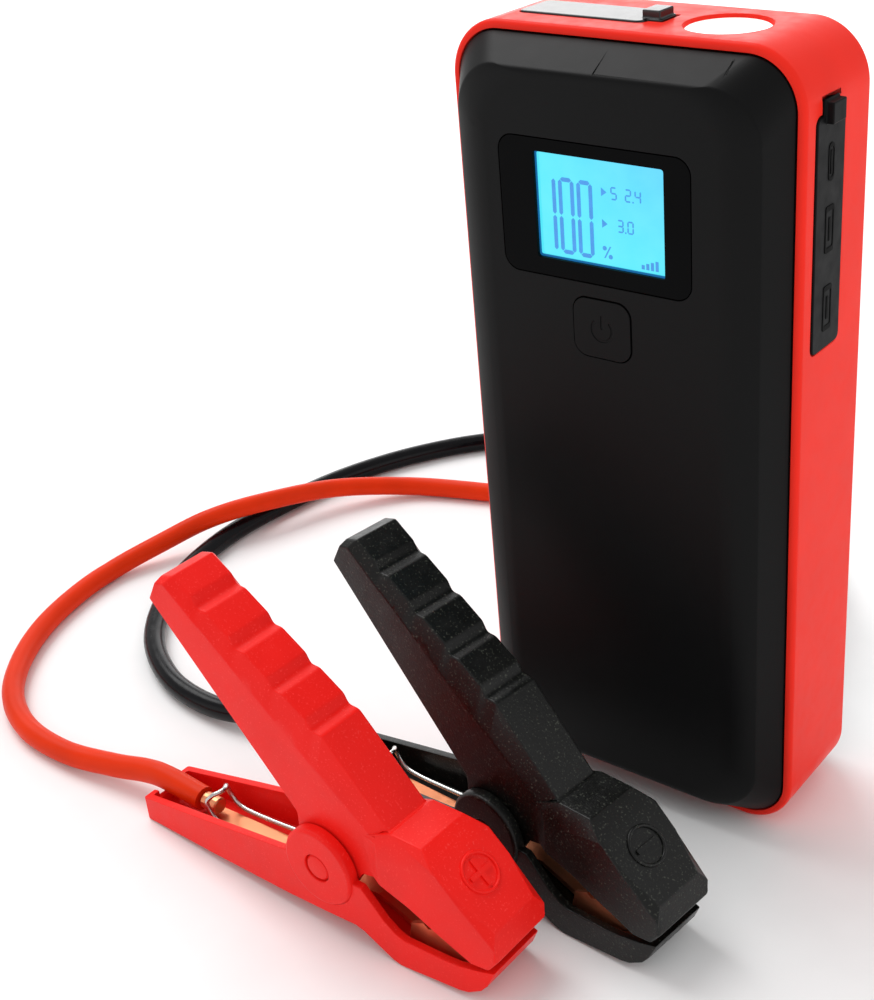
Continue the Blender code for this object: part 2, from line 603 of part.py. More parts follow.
def lamp():
    """The work light: lens, reflector cup and LED board, from the top face down."""
    place = (LAMP_X, TOP_Y, PACK_H)
    r = LAMP_R / MM - 0.3
    lens = [(0, -0.9), (r - 2, -0.9), (r - 1, -0.7), (r, -0.7), (r, -2.2), (0, -2.2)]
    cup = [(r - 1, -2.5), (r, -2.5), (r, -3.4), (r - 1, -3.4), (4.2, -10), (1.8, -10),
           (1.8, -9.2), (3.6, -9.2)]
    turned("lamp_lens", CLEAR, [(a * MM, b * MM) for a, b in lens], place, (0, 0, 1), 32)
    turned("lamp_reflector", MIRROR, [(a * MM, b * MM) for a, b in cup + cup[:1]], place,
           (0, 0, 1), 24)
    board = turned("lamp_board", BOARD, [(0, -10.3 * MM), (6 * MM, -10.3 * MM), (6 * MM, -11.5 * MM),
                                         (0, -11.5 * MM)], place, (0, 0, 1), 20)
    join(board, cylinder("led_chip", None, 1.4 * MM, (LAMP_X, TOP_Y, PACK_H - 10.9 * MM),
                         (LAMP_X, TOP_Y, PACK_H - 9.4 * MM), 12))


# ---------------------------------------------------------------------------
# jump socket, plug and leads
# ---------------------------------------------------------------------------
def jump_socket():
    front, back = 1.5 * MM, REAR_Y - 0.2 * MM
    body = slab("jump_socket", BLACK_ABS, rounded(SOCKET_W, SOCKET_H, 2 * MM, (0, SOCKET_Z), 3),
                front, back)
    cut(body, slab("socket_cavity", None,
                   rounded(NOSE_W + 2 * GAP, NOSE_H + 2 * GAP, 1.6 * MM, (0, SOCKET_Z), 3),
                   8 * MM, back + 5 * MM))
    for side, x in (("red", -CONTACT_X), ("black", CONTACT_X)):
        cut(body, cylinder(f"pin_way_{side}", None, 2.5 * MM, (x, -2 * MM, SOCKET_Z),
                           (x, 10 * MM, SOCKET_Z), 16))
        turned(f"socket_pin_{side}", BRASS,
               [(0, 17 * MM), (1.6 * MM, 17 * MM), (2.2 * MM, 16.2 * MM), (2.2 * MM, -2 * MM),
                (0, -2 * MM)], (x, 0, SOCKET_Z), (0, 1, 0), 16)


def jump_plug():
    """Plug of the leads: nose in the socket, grip outside, a boot on each cable."""
    nose_y = 8.6 * MM
    grip_y = REAR_Y + GAP
    plug = slab("jump_plug", BLACK_ABS, rounded(NOSE_W, NOSE_H, 1.4 * MM, (0, SOCKET_Z), 3),
                nose_y, grip_y + MM)
    grip = slab("plug_grip", None, rounded(SOCKET_W + MM, SOCKET_H + 1.6 * MM, 4 * MM,
                                           (0, SOCKET_Z), 4), grip_y, PLUG_REAR)
    join(plug, soften(grip, 0.9 * MM))
    for i in range(4):
        y = grip_y + (5.2 + 3 * i) * MM
        for side in (-1, 1):
            x = side * (SOCKET_W + MM) / 2
            cut(plug, cylinder(f"grip_groove_{i}_{side}", None, 0.7 * MM,
                               (x, y, SOCKET_Z - 5 * MM), (x, y, SOCKET_Z + 5 * MM), 8))
    for colour, x in (("red", -CONTACT_X), ("black", CONTACT_X)):
        cut(plug, cylinder(f"contact_way_{colour}", None, 3.4 * MM, (x, 5 * MM, SOCKET_Z),
                           (x, 45 * MM, SOCKET_Z), 16))
        sleeve = turned(f"plug_contact_{colour}", BRASS,
                        [(0, 32 * MM), (3.1 * MM, 32 * MM), (3.1 * MM, 9 * MM), (0, 9 * MM)],
                        (x, 0, SOCKET_Z), (0, 1, 0), 16)
        cut(sleeve, cylinder(f"contact_bore_{colour}", None, 2.5 * MM, (x, 5 * MM, SOCKET_Z),
                             (x, 22 * MM, SOCKET_Z), 16))
        start = PLUG_REAR + GAP
        inner, thick, thin = CABLE_R + GAP, 4.5 * MM, 3.9 * MM
        rings = []
        for i in range(3):
            y = start + BOOT_LENGTH * i / 3
            radius = thick + (thin - thick) * i / 3
            rings += [(radius, y), (radius, y + 2.4 * MM), (radius - 0.5 * MM, y + 2.4 * MM),
                      (radius - 0.5 * MM, y + BOOT_LENGTH / 3)]
        rings = rings[::-1]
        turned(f"plug_boot_{colour}", RUBBER, [(inner, rings[0][1])] + rings
               + [(inner, start), (inner, rings[0][1])], (x, 0, SOCKET_Z), (0, 1, 0), 16)


def cable(colour):
    route = [Vector(p) * MM for p in ROUTES[colour]]
    wire(f"{colour}_cable", JACKET[colour], smooth_route(route, POINT_SPACING), CABLE_R)


# ---------------------------------------------------------------------------
# clamps: outlines in the clamp's own side view, millimetres from the lower lever's end
# ---------------------------------------------------------------------------
def clamp_matrix(colour):
    """Places the side view: local X runs to the jaws, local Y goes up, local Z across."""
    (x, y), heading = CLAMPS[colour]
    turn = Matrix.Rotation(math.radians(heading), 4, "Z") @ Matrix.Rotation(math.radians(90), 4, "X")
    return Matrix.Translation((x, y, 0)) @ turn @ Matrix.Translation((-PIVOT_S, 0, 0))


def clamp_point(colour, along, across, up):
    """A place in the clamp, with across positive to the clamp's left."""
    return clamp_matrix(colour) @ Vector((along, up, -across))


LOWER_SIDE = [
    (0, 0), (52, 3.4), (72.5, 5.0), (85, 0), (103, 1.4), (107, 4), (109.3, 8.7), (97, 7.9),
    (87, 7.9), (81.5, 10.5), (75.5, 17), (54.5, 17.2), (0, 6.6),
]
LOWER_HOLLOW = [
    (1.8, 1.9), (52, 5.3), (72.5, 6.9), (85.4, 1.9), (102, 3.2), (105, 5.2), (108, 12), (108, 40),
    (1.8, 40),
]
LOWER_PLAN = [(0, 7.25), (50, 9.7), (63.5, 10.1), (86, 10.2), (101, 9.6), (109.4, 7.6)]
UPPER_HANDLE = [
    (18.8, 70.2), (56.2, 27.6), (56.6, 12.6), (63.5, 8.9), (70.4, 12.4), (74, 18.5), (82, 20.2),
    (84, 31), (81.8, 33.2), (66, 50.3),
]
SCALLOPS = 4
SPINE_END, SPINE_BEND = (25.8, 77.2), (66, 50.3)
UPPER_NOSE = [
    (77.4, 20.6), (88.2, 17.2), (95.1, 14.1), (104.4, 10.3), (108.8, 10.5), (111, 13.4),
    (110.9, 16.8), (109.7, 19.2), (96.5, 30.6), (91.8, 33.2), (83.5, 33.2), (78.5, 27.5),
]


def spine(steps=4):
    """The finger grips: shallow hollows along the handle's back, from the bend to the end."""
    (x0, z0), (x1, z1) = SPINE_BEND, SPINE_END
    length = math.hypot(x1 - x0, z1 - z0)
    out_x, out_z = (z0 - z1) / length, (x1 - x0) / length
    points = []
    for i in range(1, SCALLOPS * steps + 1):
        share = 0.86 * i / (SCALLOPS * steps)
        dip = 0.9 * (1 - math.cos(2 * math.pi * i / steps)) / 2
        points.append((x0 + (x1 - x0) * share + out_x * dip, z0 + (z1 - z0) * share + out_z * dip))
    return points + [SPINE_END, (22.5, 76.2)]


def teeth(start, end, depth, count):
    """A saw edge between two points, teeth pointing to the left of the way they run."""
    (x0, z0), (x1, z1) = start, end
    length = math.hypot(x1 - x0, z1 - z0)
    nx, nz = -(z1 - z0) / length, (x1 - x0) / length
    points = []
    for i in range(2 * count + 1):
        share = i / (2 * count)
        rise = depth if i % 2 else 0
        points.append((x0 + (x1 - x0) * share + nx * rise, z0 + (z1 - z0) * share + nz * rise))
    return points


def scaled(outline):
    return [(x * MM, z * MM) for x, z in outline]


def clamp_rod(name, material, colour, radius, along, up, half, sides=24):
    return cylinder(name, material, radius, clamp_point(colour, along, -half, up),
                    clamp_point(colour, along, half, up), sides)


def lower_lever(colour, side_view):
    """Open channel that holds the cable, two ears for the pivot and the lower jaw's tray."""
    lever = plate(f"{colour}_lower_lever", CLAMP_PAINT[colour], scaled(LOWER_SIDE), 24 * MM, side_view)
    plan = LOWER_PLAN + [(x, -y) for x, y in reversed(LOWER_PLAN)]
    flat = side_view @ Matrix.Rotation(math.radians(-90), 4, "X")
    cut(lever, plate(f"{colour}_plan", None, scaled(plan), 100 * MM, flat), "INTERSECT")
    ears = clamp_rod(f"{colour}_ears", None, colour, EAR_R, PIVOT_S, PIVOT_H, EAR_OUT)
    join(lever, soften(ears, 0.8 * MM, 1))
    inner_plan = [(x, y - 1.9) for x, y in LOWER_PLAN]
    inner_plan[1:3] = [(50, 7.9), (PIVOT_S / MM, EAR_IN / MM)]
    inner_plan = inner_plan + [(x, -y) for x, y in reversed(inner_plan)]
    hollow = plate(f"{colour}_channel", None, scaled(LOWER_HOLLOW), 24 * MM, side_view)
    cut(hollow, plate(f"{colour}_channel_plan", None, scaled(inner_plan), 100 * MM, flat),
        "INTERSECT")
    cut(lever, hollow)
    notch = plate(f"{colour}_cable_notch", None, scaled([(-4, 4.5), (6, 4.5), (6, 20), (-4, 20)]),
                  7.4 * MM, side_view)
    cut(lever, notch)
    cut(lever, clamp_rod(f"{colour}_ear_bore", None, colour, PIN_BORE_R, PIVOT_S, PIVOT_H, 20 * MM, 16))
    for end in (-1, 1):
        seat = cylinder(f"{colour}_rivet_seat_{end}", None, 3.5 * MM,
                        clamp_point(colour, PIVOT_S, end * (EAR_OUT - 1.3 * MM), PIVOT_H),
                        clamp_point(colour, PIVOT_S, end * (EAR_OUT + 3 * MM), PIVOT_H), 20)
        cut(lever, seat)


def upper_lever(colour, side_view):
    """Hollow handle with finger grips, the pivot lugs and the wider nose over the top jaw."""
    outline = UPPER_HANDLE + spine()
    lever = plate(f"{colour}_upper_lever", CLAMP_PAINT[colour], scaled(outline), 2 * LEVER_HALF,
                  side_view)
    nose = plate(f"{colour}_nose", None, scaled(UPPER_NOSE), 2 * NOSE_HALF, side_view)
    join(lever, nose)
    inside = [(10, 66), (10, 0), (76, 0), (80, 24), (79.6, 30.8), (64.6, 47.6), (26.6, 73.4),
              (22.4, 69.4)]
    cut(lever, plate(f"{colour}_handle_hollow", None, scaled(inside), 2 * (LEVER_HALF - 1.8 * MM),
                     side_view))
    mouth = [(82.6, 15), (82.6, 3), (106.5, 3), (108.5, 13.6), (95, 28.4), (91.5, 31), (84.8, 31),
             (82.6, 28)]
    cut(lever, plate(f"{colour}_nose_hollow", None, scaled(mouth), 2 * (NOSE_HALF - 1.9 * MM),
                     side_view))
    cut(lever, clamp_rod(f"{colour}_lug_bore", None, colour, PIN_BORE_R, PIVOT_S, PIVOT_H, 20 * MM, 16))


def jaw_plates(colour, side_view):
    """Copper channels with saw edges, one in each jaw. The lower one has a tail to the cable."""
    saw = teeth((87.7, 14.9), (107.6, 10.9), -TOOTH_DEPTH, 7)
    outline = [(87.4, 27.6), (87.4, 15)] + saw + [(107.8, 13.2), (93.6, 27.6), (91.2, 29.9), (88.4, 29.9)]
    top_jaw = plate(f"{colour}_upper_jaw", COPPER, scaled(outline), JAW_W, side_view)
    inside = [(80, 8), (112, 2), (106.6, 12.7), (92.9, 26.6), (90.7, 28.8), (80, 28.8)]
    cut(top_jaw, plate(f"{colour}_upper_jaw_hollow", None, scaled(inside), JAW_INNER_W, side_view))
    saw = teeth((104.6, 9.0), (88, 10.8), -TOOTH_DEPTH, 6)
    outline = [(84.5, 3), (86.8, 2.5), (101.5, 3.7), (103.6, 5.6)] + saw + [(86, 9.9)]
    low_jaw = plate(f"{colour}_lower_jaw", COPPER, scaled(outline), JAW_W, side_view)
    inside = [(83, 3.9), (101, 4.8), (102.6, 6.4), (103.6, 20), (83, 20)]
    cut(low_jaw, plate(f"{colour}_lower_jaw_hollow", None, scaled(inside), JAW_INNER_W, side_view))
    tail = [(14.8, 3.3), (52, 5.8), (72.6, 7.3), (85.2, 2.6), (87.5, 2.7), (87.5, 4.4), (86, 3.9),
            (73, 8.4), (52, 6.8), (14.8, 4.3)]
    join(low_jaw, plate(f"{colour}_jaw_tail", None, scaled(tail), 5 * MM, side_view))


def pivot_pin(colour):
    reach, head = EAR_OUT - 0.1 * MM, 0.9 * MM
    half = [(0, reach), (2.6 * MM, reach), (3.2 * MM, reach - 0.4 * MM), (3.2 * MM, reach - head),
            (2.0 * MM, reach - head)]
    profile = half + [(r, -h) for r, h in reversed(half)]
    middle = clamp_point(colour, PIVOT_S, 0, PIVOT_H)
    axis = clamp_point(colour, PIVOT_S, 1, PIVOT_H) - middle
    turned(f"{colour}_pivot_pin", STEEL, profile, middle, axis, 20)


def torsion_spring(colour):
    """One wire: a leg under the handle, a coil, a loop over the cable's end, and back."""
    wire_r, coil_r, turns, steps = 0.6 * MM, 3.5 * MM, 2.5, 10
    pitch = 1.45 * MM

    leg = [(40, 4.0, 51.5), (50, 4.5, 38), (58, 4.9, 26)]
    loop = [(56.5, 1.5, 10.9), (50, 3.2, 9.0), (30, 3.6, 6.4), (22.3, 3.6, 6.6),
            (19.2, 3.4, 10.2), (20.0, 2.4, 12.2), (21.3, 0.8, 12.9)]
    half = [Vector(p) * MM for p in leg]
    for i in range(int(turns * steps) + 1):
        turn = math.radians(120 - 360 * i / steps)
        half.append((PIVOT_S + coil_r * math.cos(turn),
                     4.9 * MM - pitch * i / steps,
                     PIVOT_H + coil_r * math.sin(turn)))
    half += [Vector(p) * MM for p in loop]
    whole = half + [(x, -y, z) for x, y, z in reversed(half)]
    wire(f"{colour}_spring", STEEL, [clamp_point(colour, *p) for p in whole], wire_r, 1)


def cable_lug(colour):
    """Crimped sleeve on the bare end of the cable, lying on the lower jaw's tail."""
    ends = [clamp_point(colour, s * MM, 0, 7.3 * MM) for s in (14.5, 19.5)]
    lug = cylinder(f"{colour}_cable_lug", COPPER, 2.1 * MM, ends[0], ends[1], 16)
    soften(lug, 0.3 * MM, 1)


def clamp(colour):
    side_view = clamp_matrix(colour)
    lower_lever(colour, side_view)
    upper_lever(colour, side_view)
    jaw_plates(colour, side_view)
    pivot_pin(colour)
    torsion_spring(colour)
    cable_lug(colour)


mid_frame()
front_cover()
back_cover()
case_screws()
display()
power_button()
boards()
battery()
port_sockets()
side_flap()
top_flap()
lamp()
jump_socket()
jump_plug()
for colour in CLAMPS:
    cable(colour)
    clamp(colour)
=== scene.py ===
"""Looks of the jump starter pack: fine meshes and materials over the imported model.

Pieces are built in millimetres and turned into metres when they are handed to their body.
"""

import json
import math

import bmesh
import bpy
from mathutils import Matrix, Vector


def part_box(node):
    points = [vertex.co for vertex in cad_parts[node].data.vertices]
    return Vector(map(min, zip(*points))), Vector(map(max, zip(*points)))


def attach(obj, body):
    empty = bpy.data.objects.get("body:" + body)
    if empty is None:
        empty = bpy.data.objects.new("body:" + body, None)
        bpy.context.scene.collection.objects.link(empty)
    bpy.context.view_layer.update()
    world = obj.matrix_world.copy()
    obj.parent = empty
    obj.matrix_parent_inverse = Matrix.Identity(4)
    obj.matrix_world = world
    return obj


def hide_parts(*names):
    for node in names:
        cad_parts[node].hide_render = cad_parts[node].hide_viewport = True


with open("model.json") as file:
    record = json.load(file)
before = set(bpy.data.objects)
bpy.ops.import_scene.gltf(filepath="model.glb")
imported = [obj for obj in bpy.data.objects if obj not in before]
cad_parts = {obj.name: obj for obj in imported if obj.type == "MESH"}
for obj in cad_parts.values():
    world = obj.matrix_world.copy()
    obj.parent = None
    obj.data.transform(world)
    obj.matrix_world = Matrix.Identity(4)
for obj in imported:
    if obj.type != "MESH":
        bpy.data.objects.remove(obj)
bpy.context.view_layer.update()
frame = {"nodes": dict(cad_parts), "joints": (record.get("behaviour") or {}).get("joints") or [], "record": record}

MM = 0.001


def extent(node):
    """A CAD node's lowest and highest corners, in millimetres."""
    low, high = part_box(node)
    return low / MM, high / MM


# ---------------------------------------------------------------------------
# camera, light and floor
# ---------------------------------------------------------------------------
def aim_camera(place, azimuth, pitch, roll, lens, shift_x):
    """Looks along an azimuth and down by a pitch, rolled about that line. All are in degrees."""
    a, b, c = (math.radians(v) for v in (azimuth, pitch, roll))
    ahead = Vector((-math.sin(a) * math.cos(b), math.cos(a) * math.cos(b), -math.sin(b)))
    level = Vector((math.cos(a), math.sin(a), 0))
    below = ahead.cross(level)
    right = math.cos(c) * level + math.sin(c) * below
    down = math.cos(c) * below - math.sin(c) * level
    camera = bpy.data.objects.new("camera", bpy.data.cameras.new("camera"))
    bpy.context.scene.collection.objects.link(camera)
    turn = Matrix((right, -down, -ahead)).transposed().to_4x4()
    camera.matrix_world = Matrix.Translation(place) @ turn
    camera.data.lens = lens
    camera.data.shift_x = shift_x
    camera.data.clip_start = 0.01
    bpy.context.scene.camera = camera


def area_light(name, place, target, size, power, colour=(1, 1, 1)):
    lamp = bpy.data.lights.new(name, "AREA")
    lamp.shape = "RECTANGLE"
    lamp.size, lamp.size_y = size
    lamp.energy = power
    lamp.color = colour
    obj = bpy.data.objects.new(name, lamp)
    bpy.context.scene.collection.objects.link(obj)
    obj.location = place
    obj.rotation_euler = (Vector(target) - Vector(place)).to_track_quat("-Z", "Y").to_euler()


def studio():
    bpy.context.scene.view_settings.view_transform = "Standard"
    world = bpy.data.worlds.new("studio")
    bpy.context.scene.world = world
    world.use_nodes = True
    backdrop = world.node_tree.nodes["Background"]
    backdrop.inputs["Color"].default_value = (1, 1, 1, 1)
    backdrop.inputs["Strength"].default_value = 0.68
    sky = bpy.data.lights.new("overhead", "SUN")
    sky.energy = 1.7
    sky.angle = math.radians(40)
    overhead = bpy.data.objects.new("overhead", sky)
    bpy.context.scene.collection.objects.link(overhead)
    overhead.rotation_euler = Vector((0.54, -0.18, -0.82)).to_track_quat("-Z", "Y").to_euler()
    area_light("side_right", (0.9, 0.05, 0.4), (0.03, 0, 0.1), (0.7, 0.7), 1.3)
    area_light("front_left", (-0.7, -0.85, 0.3), (0, 0, 0.1), (0.6, 0.5), 0.6)
    area_light("low_back", (-0.6, 1.0, 0.35), (0, 0, 0.15), (1.2, 0.5), 4)
    mesh = bpy.data.meshes.new("floor")
    mesh.from_pydata([(-6, -6, 0), (6, -6, 0), (6, 6, 0), (-6, 6, 0)], [], [(0, 1, 2, 3)])
    floor = bpy.data.objects.new("floor", mesh)
    bpy.context.scene.collection.objects.link(floor)
    mesh.materials.append(moulded("floor_pale", (0.93, 0.93, 0.93), 0.8, vary=0.01, bump=0.0,
                                   specular=0.1))
    floor.location.z = -0.0001  # just clear of the faces that stand on it


# ---------------------------------------------------------------------------
# materials
# ---------------------------------------------------------------------------
def nodes_of(name):
    material = bpy.data.materials.new(name)
    material.use_nodes = True
    tree = material.node_tree
    return material, tree, tree.nodes["Principled BSDF"]


def noise(tree, size_mm, detail=2.0):
    """Noise in the object's own space; size_mm is the width of one blotch or grain."""
    place = tree.nodes.new("ShaderNodeTexCoord")
    grain = tree.nodes.new("ShaderNodeTexNoise")
    grain.inputs["Scale"].default_value = 1 / (size_mm * MM)
    grain.inputs["Detail"].default_value = detail
    tree.links.new(place.outputs["Object"], grain.inputs["Vector"])
    return grain.outputs["Fac"]


def remap(tree, value, low, high, start=0.3, stop=0.7):
    node = tree.nodes.new("ShaderNodeMapRange")
    sockets = ("From Min", "From Max", "To Min", "To Max")
    for socket, amount in zip(sockets, (start, stop, low, high)):
        node.inputs[socket].default_value = amount
    tree.links.new(value, node.inputs["Value"])
    return node.outputs["Result"]


def mix(tree, factor, first, second):
    node = tree.nodes.new("ShaderNodeMix")
    node.data_type = "RGBA"
    tree.links.new(factor, node.inputs["Factor"])
    for socket, value in ((node.inputs["A"], first), (node.inputs["B"], second)):
        if isinstance(value, tuple):
            socket.default_value = (*value, 1)
        else:
            tree.links.new(value, socket)
    return node.outputs["Result"]


def raise_surface(tree, shader, height, strength, depth_mm):
    node = tree.nodes.new("ShaderNodeBump")
    node.inputs["Strength"].default_value = strength
    node.inputs["Distance"].default_value = depth_mm * MM
    tree.links.new(height, node.inputs["Height"])
    tree.links.new(node.outputs["Normal"], shader.inputs["Normal"])


def moulded(name, colour, roughness, grain=0.5, bump=0.2, vary=0.12, specular=0.5, metallic=0.0,
            spread=0.06, painted_glint=None):
    """A moulded or plated surface: faint blotches in tone and gloss over a fine grain.

    The painted glint colour is painted into the brightest grains, standing in for light that sparkles off the
    grain.
    """
    material, tree, shader = nodes_of(name)
    shader.inputs["Metallic"].default_value = metallic
    shader.inputs["Specular IOR Level"].default_value = specular
    tone = remap(tree, noise(tree, 14), 0, 1)
    darker = tuple(c * (1 - vary) for c in colour)
    lighter = tuple(min(1, c * (1 + vary)) for c in colour)
    base = mix(tree, tone, darker, lighter)
    # Painted glints: the brightest grains take a lighter colour in place of the light that sparkles off them.
    if painted_glint:
        base = mix(tree, remap(tree, noise(tree, 0.5, 1), 0, 1, 0.62, 0.74), base, painted_glint)
    tree.links.new(base, shader.inputs["Base Color"])
    gloss = remap(tree, noise(tree, 3.5), roughness - spread, roughness + spread)
    tree.links.new(gloss, shader.inputs["Roughness"])
    raise_surface(tree, shader, noise(tree, grain, 3), bump, 0.05)
    return material


def display_glow(name, low, high):
    """The lit display: cyan, bluer towards the top right, with faint lighter blotches."""
    material, tree, shader = nodes_of(name)
    place = tree.nodes.new("ShaderNodeTexCoord")
    split = tree.nodes.new("ShaderNodeSeparateXYZ")
    tree.links.new(place.outputs["Object"], split.inputs["Vector"])
    across = remap(tree, split.outputs["X"], 0, 1, low.x * MM, high.x * MM)
    upward = remap(tree, split.outputs["Z"], 0, 1, low.z * MM, high.z * MM)
    both = tree.nodes.new("ShaderNodeMath")
    both.operation = "MULTIPLY"
    tree.links.new(across, both.inputs[0])
    tree.links.new(upward, both.inputs[1])
    tint = mix(tree, both.outputs["Value"], (0.075, 0.80, 0.94), (0.09, 0.62, 0.98))
    patch = remap(tree, noise(tree, 5), 0.0, 0.18)
    tint = mix(tree, patch, tint, (0.2, 0.9, 1.0))
    tree.links.new(tint, shader.inputs["Emission Color"])
    shader.inputs["Emission Strength"].default_value = 0.98
    shader.inputs["Base Color"].default_value = (0.02, 0.05, 0.06, 1)
    shader.inputs["Roughness"].default_value = 0.15
    return material


def glow(name, colour, strength, roughness=0.3):
    material, tree, shader = nodes_of(name)
    tone = remap(tree, noise(tree, 2), 0, 1)
    tree.links.new(mix(tree, tone, colour, tuple(c * 0.85 for c in colour)),
                   shader.inputs["Emission Color"])
    shader.inputs["Base Color"].default_value = (*(c * 0.5 for c in colour), 1)
    shader.inputs["Emission Strength"].default_value = strength
    shader.inputs["Roughness"].default_value = roughness
    return material


RED_SHELL = moulded("red_shell", (0.86, 0.028, 0.016), 0.34, grain=0.6, bump=0.10, vary=0.03,
                    specular=0.05)
BLACK_SHELL = moulded("black_shell", (0.0036, 0.0036, 0.0038), 0.40, grain=0.5, bump=0.16,
                      vary=0.04, specular=0.10, spread=0.012)
GLOSS = moulded("gloss_black", (0.002, 0.002, 0.0022), 0.06, grain=3, bump=0.02, specular=0.035,
                spread=0.02)
RUBBER = moulded("black_rubber", (0.005, 0.005, 0.0055), 0.5, grain=0.35, bump=0.3, specular=0.08)
# Painted light: a copy of the black rubber, a shade lighter and glossier, for the top cover, where light from
# above washes over it.
LIT_TOP_RUBBER = moulded("top_rubber_lit", (0.006, 0.006, 0.0065), 0.22, grain=0.5, bump=0.1, spread=0.01)
INK = moulded("dark_ink", (0.001, 0.001, 0.001), 0.4, grain=1, bump=0.05, specular=0.02)
STEEL = moulded("nickel_steel", (0.62, 0.62, 0.60), 0.24, grain=0.25, bump=0.12, metallic=1)
COPPER = moulded("copper_plate", (0.80, 0.30, 0.15), 0.34, grain=0.3, bump=0.3, metallic=0.9)
GOLD = moulded("gold_plate", (0.83, 0.62, 0.25), 0.2, grain=0.3, bump=0.1, metallic=1)
MIRROR = moulded("reflector_plate", (0.86, 0.86, 0.87), 0.08, grain=0.6, bump=0.05, metallic=1,
                 spread=0.03)
LENS = glow("work_lens", (1.0, 0.99, 0.97), 0.85, 0.12)
# Both clamp colours carry painted glints, lighter specks in their brightest grains.
CLAMP = {
    "red": moulded("clamp_red", (0.88, 0.012, 0.008), 0.38, grain=0.45, bump=0.5, vary=0.04,
                   specular=0.15, painted_glint=(0.93, 0.04, 0.033)),
    "black": moulded("clamp_black", (0.0033, 0.0034, 0.0030), 0.36, grain=0.55, bump=1.0,
                     specular=0.26, painted_glint=(0.045, 0.048, 0.038)),
}
JACKET = {
    "red": moulded("jacket_red", (0.72, 0.034, 0.004), 0.40, grain=1.5, bump=0.12, vary=0.06,
                   specular=0.08),
    "black": moulded("jacket_black", (0.002, 0.002, 0.003), 0.24, grain=1.5, bump=0.12,
                     specular=0.14),
}

aim_camera(place=(0.17373, -0.27785, 0.25025), azimuth=37.17, pitch=28.51, roll=3.66, lens=57.378,
           shift_x=-0.1)
studio()


# ---------------------------------------------------------------------------
# mesh building, in millimetres
# ---------------------------------------------------------------------------
def tidy(obj, merge=0.0):
    work = bmesh.new()
    work.from_mesh(obj.data)
    if merge:
        bmesh.ops.remove_doubles(work, verts=work.verts, dist=merge)
    bmesh.ops.recalc_face_normals(work, faces=work.faces)
    work.to_mesh(obj.data)
    work.free()
    return obj


def solid(name, points, faces, merge=0.0):
    mesh = bpy.data.meshes.new(name)
    mesh.from_pydata([tuple(p) for p in points], [], faces)
    obj = bpy.data.objects.new(name, mesh)
    bpy.context.scene.collection.objects.link(obj)
    return tidy(obj, merge)


def loft(name, rings, closed=False, merge=0.0, capped=True):
    """A skin over equal rings of points: capped at both ends, or closed back to the first ring."""
    n, count = len(rings[0]), len(rings)
    faces = []
    for k in range(count if closed else count - 1):
        m = (k + 1) % count
        faces += [(k * n + i, k * n + (i + 1) % n, m * n + (i + 1) % n, m * n + i)
                  for i in range(n)]
    if not closed and capped:
        faces += [tuple(range(n))[::-1], tuple((count - 1) * n + i for i in range(n))]
    return solid(name, [p for ring in rings for p in ring], faces, merge)


def arc(centre, radius, first, last, steps):
    turn = [math.radians(first + (last - first) * i / steps) for i in range(steps + 1)]
    return [(centre[0] + radius * math.cos(t), centre[1] + radius * math.sin(t)) for t in turn]


def rounded(width, height, radius, centre=(0, 0), steps=14):
    across, up = width / 2 - radius, height / 2 - radius
    outline = []
    for quarter, (sx, sy) in enumerate(((1, 1), (-1, 1), (-1, -1), (1, -1))):
        middle = (centre[0] + sx * across, centre[1] + sy * up)
        outline += arc(middle, radius, 90 * quarter, 90 * quarter + 90, steps)
    return outline


LAY = {
    "x": lambda u, v, w: (w, u, v),
    "y": lambda u, v, w: (u, w, v),
    "z": lambda u, v, w: (u, v, w),
}


def prism(name, outline, low, high, along):
    """An outline carried from low to high along an axis: along X it is (y, z), along Y (x, z)."""
    return loft(name, [[LAY[along](u, v, w) for u, v in outline] for w in (low, high)])


def block(name, low, high):
    (x0, y0, z0), (x1, y1, z1) = low, high
    return prism(name, [(x0, y0), (x1, y0), (x1, y1), (x0, y1)], z0, z1, "z")


def lathe(name, profile, matrix=None, steps=48):
    """(radius, height) pairs turned about Z, from axis to axis or as a closed outline."""
    rings = []
    for k in range(steps):
        t = 2 * math.pi * k / steps
        rings.append([(r * math.cos(t), r * math.sin(t), h) for r, h in profile])
    obj = loft(name, rings, closed=True, merge=0.0005)
    if matrix:
        obj.data.transform(matrix)
    return obj


def towards(place, direction):
    turn = Vector(direction).to_track_quat("Z", "Y").to_matrix().to_4x4()
    return Matrix.Translation(place) @ turn


def rod(name, radius, start, end, steps=32):
    span = Vector(end) - Vector(start)
    return lathe(name, [(0, 0), (radius, 0), (radius, span.length), (0, span.length)],
                 towards(start, span), steps)


def bake(obj):
    """Turns the piece's modifiers into plain mesh."""
    bpy.context.view_layer.update()
    graph = bpy.context.evaluated_depsgraph_get()
    mesh = bpy.data.meshes.new_from_object(obj.evaluated_get(graph))
    obj.modifiers.clear()
    obj.data = mesh
    return obj


def combine(obj, operation, *tools):
    for tool in tools:
        step = obj.modifiers.new(tool.name, "BOOLEAN")
        step.object = tool
        step.operation = operation
        step.solver = "EXACT"
        bake(obj)
        bpy.data.objects.remove(tool, do_unlink=True)
    return obj


def cut(obj, *tools):
    return combine(obj, "DIFFERENCE", *tools)


def join(obj, *tools):
    """Unites tools with the first object, which keeps its name."""
    return combine(obj, "UNION", *tools)


def soften(obj, width, segments=2, angle=34):
    """Rounds the edges between faces that meet at more than the angle."""
    work = bmesh.new()
    work.from_mesh(obj.data)
    bmesh.ops.remove_doubles(work, verts=work.verts, dist=0.004)
    bmesh.ops.dissolve_limit(work, angle_limit=math.radians(0.5), verts=work.verts,
                             edges=work.edges)
    work.to_mesh(obj.data)
    work.free()
    step = obj.modifiers.new("edges", "BEVEL")
    step.width = width
    step.segments = segments
    step.limit_method = "ANGLE"
    step.angle_limit = math.radians(angle)
    step.use_clamp_overlap = False
    step.miter_outer = "MITER_ARC"
    return bake(obj)


